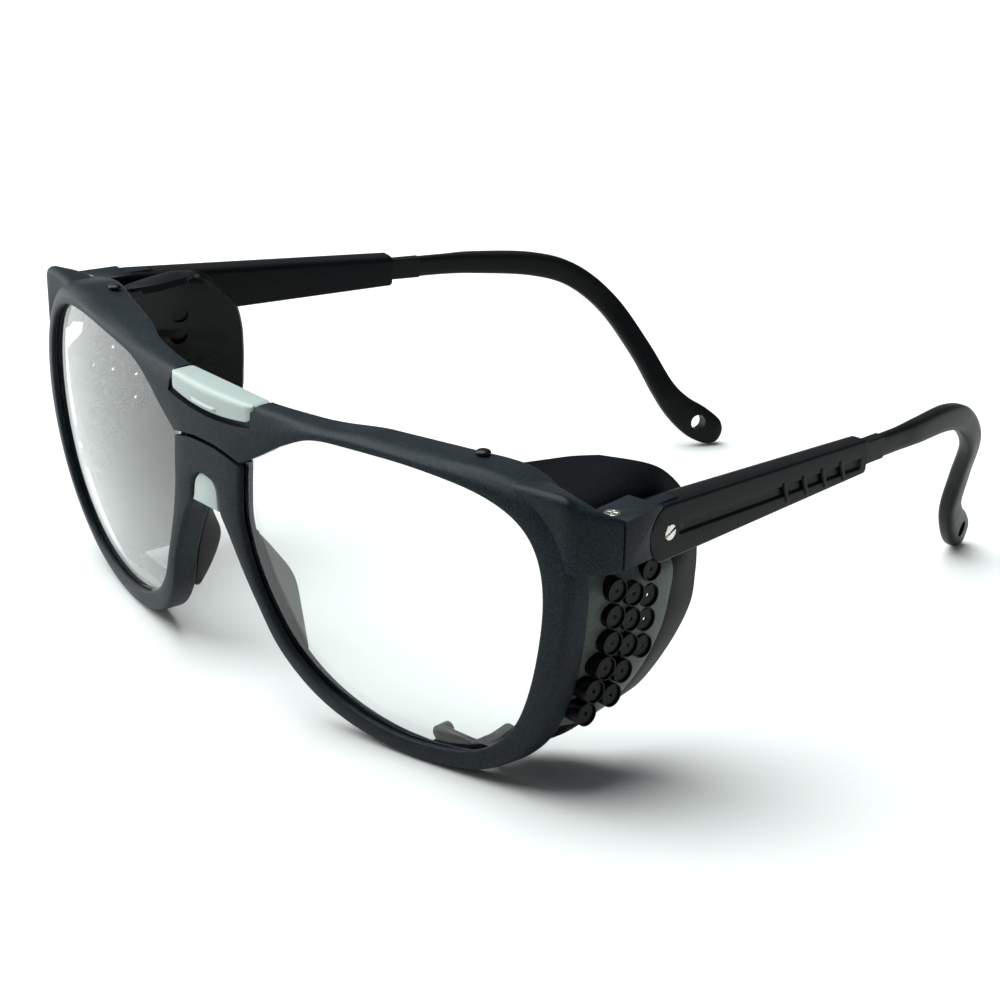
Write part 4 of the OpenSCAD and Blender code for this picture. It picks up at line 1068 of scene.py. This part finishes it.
def sleeve_cutters():
    """Hollows of the sleeve: fork slot, bar slot, screw seat and nut seat."""
    low, high = TONGUE_IN - SIDE_GAP, TONGUE_OUT + SIDE_GAP
    half_t, half_h = BAR_T / 2 + SIDE_GAP, BAR_H / 2 + SIDE_GAP
    inside, outside, past_end = SLEEVE_IN - 4, BLOCK_OUT + 3, 90
    disc = lambda r, a, b: moved(rod(r, a, b, 64), across)
    return [
        block([low, -12, -10], [high, 0, 10]),
        disc(TONGUE_R + SIDE_GAP, low, high),
        block([BAR_U - half_t, SLEEVE_LEN - BAR_IN - SLIDE - 0.8, -half_h],
              [BAR_U + half_t, past_end, half_h]),
        disc(HEAD_SEAT_R, BLOCK_OUT - 0.55, outside),
        disc(SHANK_BORE_R, inside, outside),
        disc(NUT_SEAT_R, inside, SLEEVE_IN + 0.5)]


for word, side in SIDES:
    sleeve = shaped(f"sleeve_{word}", moved(sleeve_shell(), sleeve_to_front), side)
    for tool in sleeve_cutters():
        cut(sleeve, moved(tool, sleeve_to_front), side)
    ribs = joined([click_rib(GROOVE_TO - 5.25 - CLICK_STEP * k) for k in range(4)])
    add_part(sleeve, moved(ribs, sleeve_to_front), side)
    settle(sleeve, f"{word}_temple", f"{word}_temple_sleeve", "temple", TEMPLE)

# Ear pieces
BAR_FREE = SLEEVE_LEN + SLIDE + 1
EAR_PATH = [
    [BAR_U, BAR_FREE - 8, 0], [BAR_U, BAR_FREE, 0], [BAR_U - 0.4, BAR_FREE + 7, -0.1],
    [-0.3, 81, -0.9], [-1.8, 89.4, -3.4], [-4, 96.8, -9.2], [-8.2, 102.2, -17.4],
    [-11.4, 106, -24.6], [-12.8, 109.2, -28.6], [-14, 113, -31.55], [-15, 116.4, -33.55],
    [-15.4, 118, -34.35]]
EAR_SIZES = [
    [BAR_H, BAR_T], [BAR_H, BAR_T], [4.1, 2.7], [4.4, 3], [4.4, 3], [4.2, 3], [4.2, 3],
    [4.6, 3], [5.6, 3], [6.6, 3], [5.4, 2.9], [2.2, 2]]
EAR_LAST = len(EAR_PATH) - 1
OVAL_POWER = 0.62


def ear_frame(s):
    """Centre, up and side of the ear piece at s: side is square to the path and to up, and up is
    square to the path and to the sleeve's outward direction."""
    at = curve(EAR_PATH, s)
    axis = unit(curve(EAR_PATH, np.minimum(s + 0.1, EAR_LAST))
                - curve(EAR_PATH, np.maximum(s - 0.1, 0)))
    up = unit(np.cross(np.broadcast_to([1.0, 0, 0], axis.shape), axis))
    return at, up, np.cross(axis, up)


def ear_body():
    """Ear piece: an oval with its sine and cosine to a power below 1, which flattens the sides,
    in the heights and thicknesses of the sizes, and a tip that closes as a quarter circle."""
    s = np.concatenate([np.linspace(0, EAR_LAST - 0.5, 190),
                        EAR_LAST - 0.5 + 0.5 * np.sin(np.linspace(0, np.pi / 2, 14))[1:]])
    at, up, out = ear_frame(s)
    size = curve(EAR_SIZES, s)
    close = np.sqrt(np.clip(1 - np.clip((s - EAR_LAST + 0.5) / 0.5, 0, 1) ** 2 * 0.995, 0, 1))
    a = np.linspace(0, 2 * np.pi, 40, endpoint=False)
    shape = lambda c: np.sign(c) * np.abs(c) ** OVAL_POWER
    rings = (at[:, None] + up[:, None] * (size[:, 0] * close / 2)[:, None, None]
             * shape(np.cos(a))[None, :, None]
             + out[:, None] * (size[:, 1] * (0.35 + 0.65 * close) / 2)[:, None, None]
             * shape(np.sin(a))[None, :, None])
    return skin(rings)


def ear_bar():
    """Sliding bar: a rounded box inside the sleeve that runs on into the ear piece."""
    v = np.linspace(SLEEVE_LEN - BAR_IN, SLEEVE_LEN + SLIDE - 4, 30)
    u0, u1, h = BAR_U - BAR_T / 2, BAR_U + BAR_T / 2, BAR_H / 2
    return skin(rounded(along(1, v, [(u0, -h), (u1, -h), (u1, h), (u0, h)]), 0.3))


for word, side in SIDES:
    ear = shaped(f"ear_{word}", moved(ear_body(), sleeve_to_front), side, SHARP_SOFT)
    at, up, out = (v[0] for v in ear_frame(np.array([EAR_LAST - 2.0])))
    drill = set_on(rod(CORD_HOLE_R, -6, 6, 40), at, np.cross(up, out), up, out)
    cut(ear, moved(drill, sleeve_to_front), side, SHARP_SOFT)
    add_part(ear, moved(ear_bar(), sleeve_to_front), side, SHARP_SOFT)
    settle(ear, f"{word}_ear", f"{word}_ear_piece", "ear", EAR)


# Floor, light and camera
def stage_material():
    """Pale floor: an even grey, a little rougher in patches."""
    mat, _, shader, _, _ = new_material("pale_floor", 3.0, 0.85, 0.95)
    set_inputs(shader, [("Base Color", (0.62, 0.62, 0.62, 1))])
    return mat


FLOOR_HALF, FLOOR_Z = 6, -0.0002
mesh = bpy.data.meshes.new("floor")
mesh.from_pydata([(FLOOR_HALF * x, FLOOR_HALF * y, FLOOR_Z)
                  for x, y in ((-1, -1), (1, -1), (1, 1), (-1, 1))], [], [(0, 1, 2, 3)])
floor = make_object("floor", mesh)
floor.data.materials.append(stage_material())

world = bpy.data.worlds.new("studio")
bpy.context.scene.world = world
world.use_nodes = True
set_inputs(world.node_tree.nodes["Background"],
           [("Color", (0.92, 0.96, 1, 1)), ("Strength", 0.16)])


def aimed(direction):
    """Turn of a lamp that shines along the direction."""
    return Vector(direction).to_track_quat("-Z", "Y").to_euler()


ceiling = bpy.data.lights.new("ceiling", "SUN")
ceiling.energy, ceiling.angle, ceiling.color = 6.2, math.radians(70), (0.94, 1, 0.985)
make_object("ceiling", ceiling).rotation_euler = aimed((0.36, 0.2, -1))
FILL_AT, FILL_TO = (-0.75, -0.42, 0.3), (0, 0, 0.05)
fill = bpy.data.lights.new("left_fill", "AREA")
fill.shape, fill.size, fill.size_y, fill.energy = "RECTANGLE", 0.9, 0.6, 6
softbox = make_object("left_fill", fill)
softbox.location = FILL_AT
softbox.rotation_euler = aimed(Vector(FILL_TO) - Vector(FILL_AT))

# Camera: place in the row frame, and focal length in pixels of a picture 1000 pixels wide
CAMERA_AT, FOCAL, SENSOR = (0.33651, -0.30689, 0.19769), 2872.12, 36.0
azimuth, elevation, roll = math.radians(48.76), math.radians(21.912), math.radians(1.835)
right = Vector((math.cos(azimuth), math.sin(azimuth), 0))
back = Vector((math.sin(azimuth) * math.cos(elevation), -math.cos(azimuth) * math.cos(elevation),
               math.sin(elevation)))
up = back.cross(right)
right, up = (right * math.cos(roll) + up * math.sin(roll),
             up * math.cos(roll) - right * math.sin(roll))
data = bpy.data.cameras.new("camera")
data.sensor_width, data.sensor_fit, data.lens = SENSOR, "HORIZONTAL", SENSOR * FOCAL / 1000
data.clip_start, data.clip_end = 0.01, 50
camera = make_object("camera", data)
camera.matrix_world = Matrix((*zip(right, up, back, CAMERA_AT), (0, 0, 0, 1)))
bpy.context.scene.camera = camera
bpy.context.scene.view_settings.view_transform = "Standard"
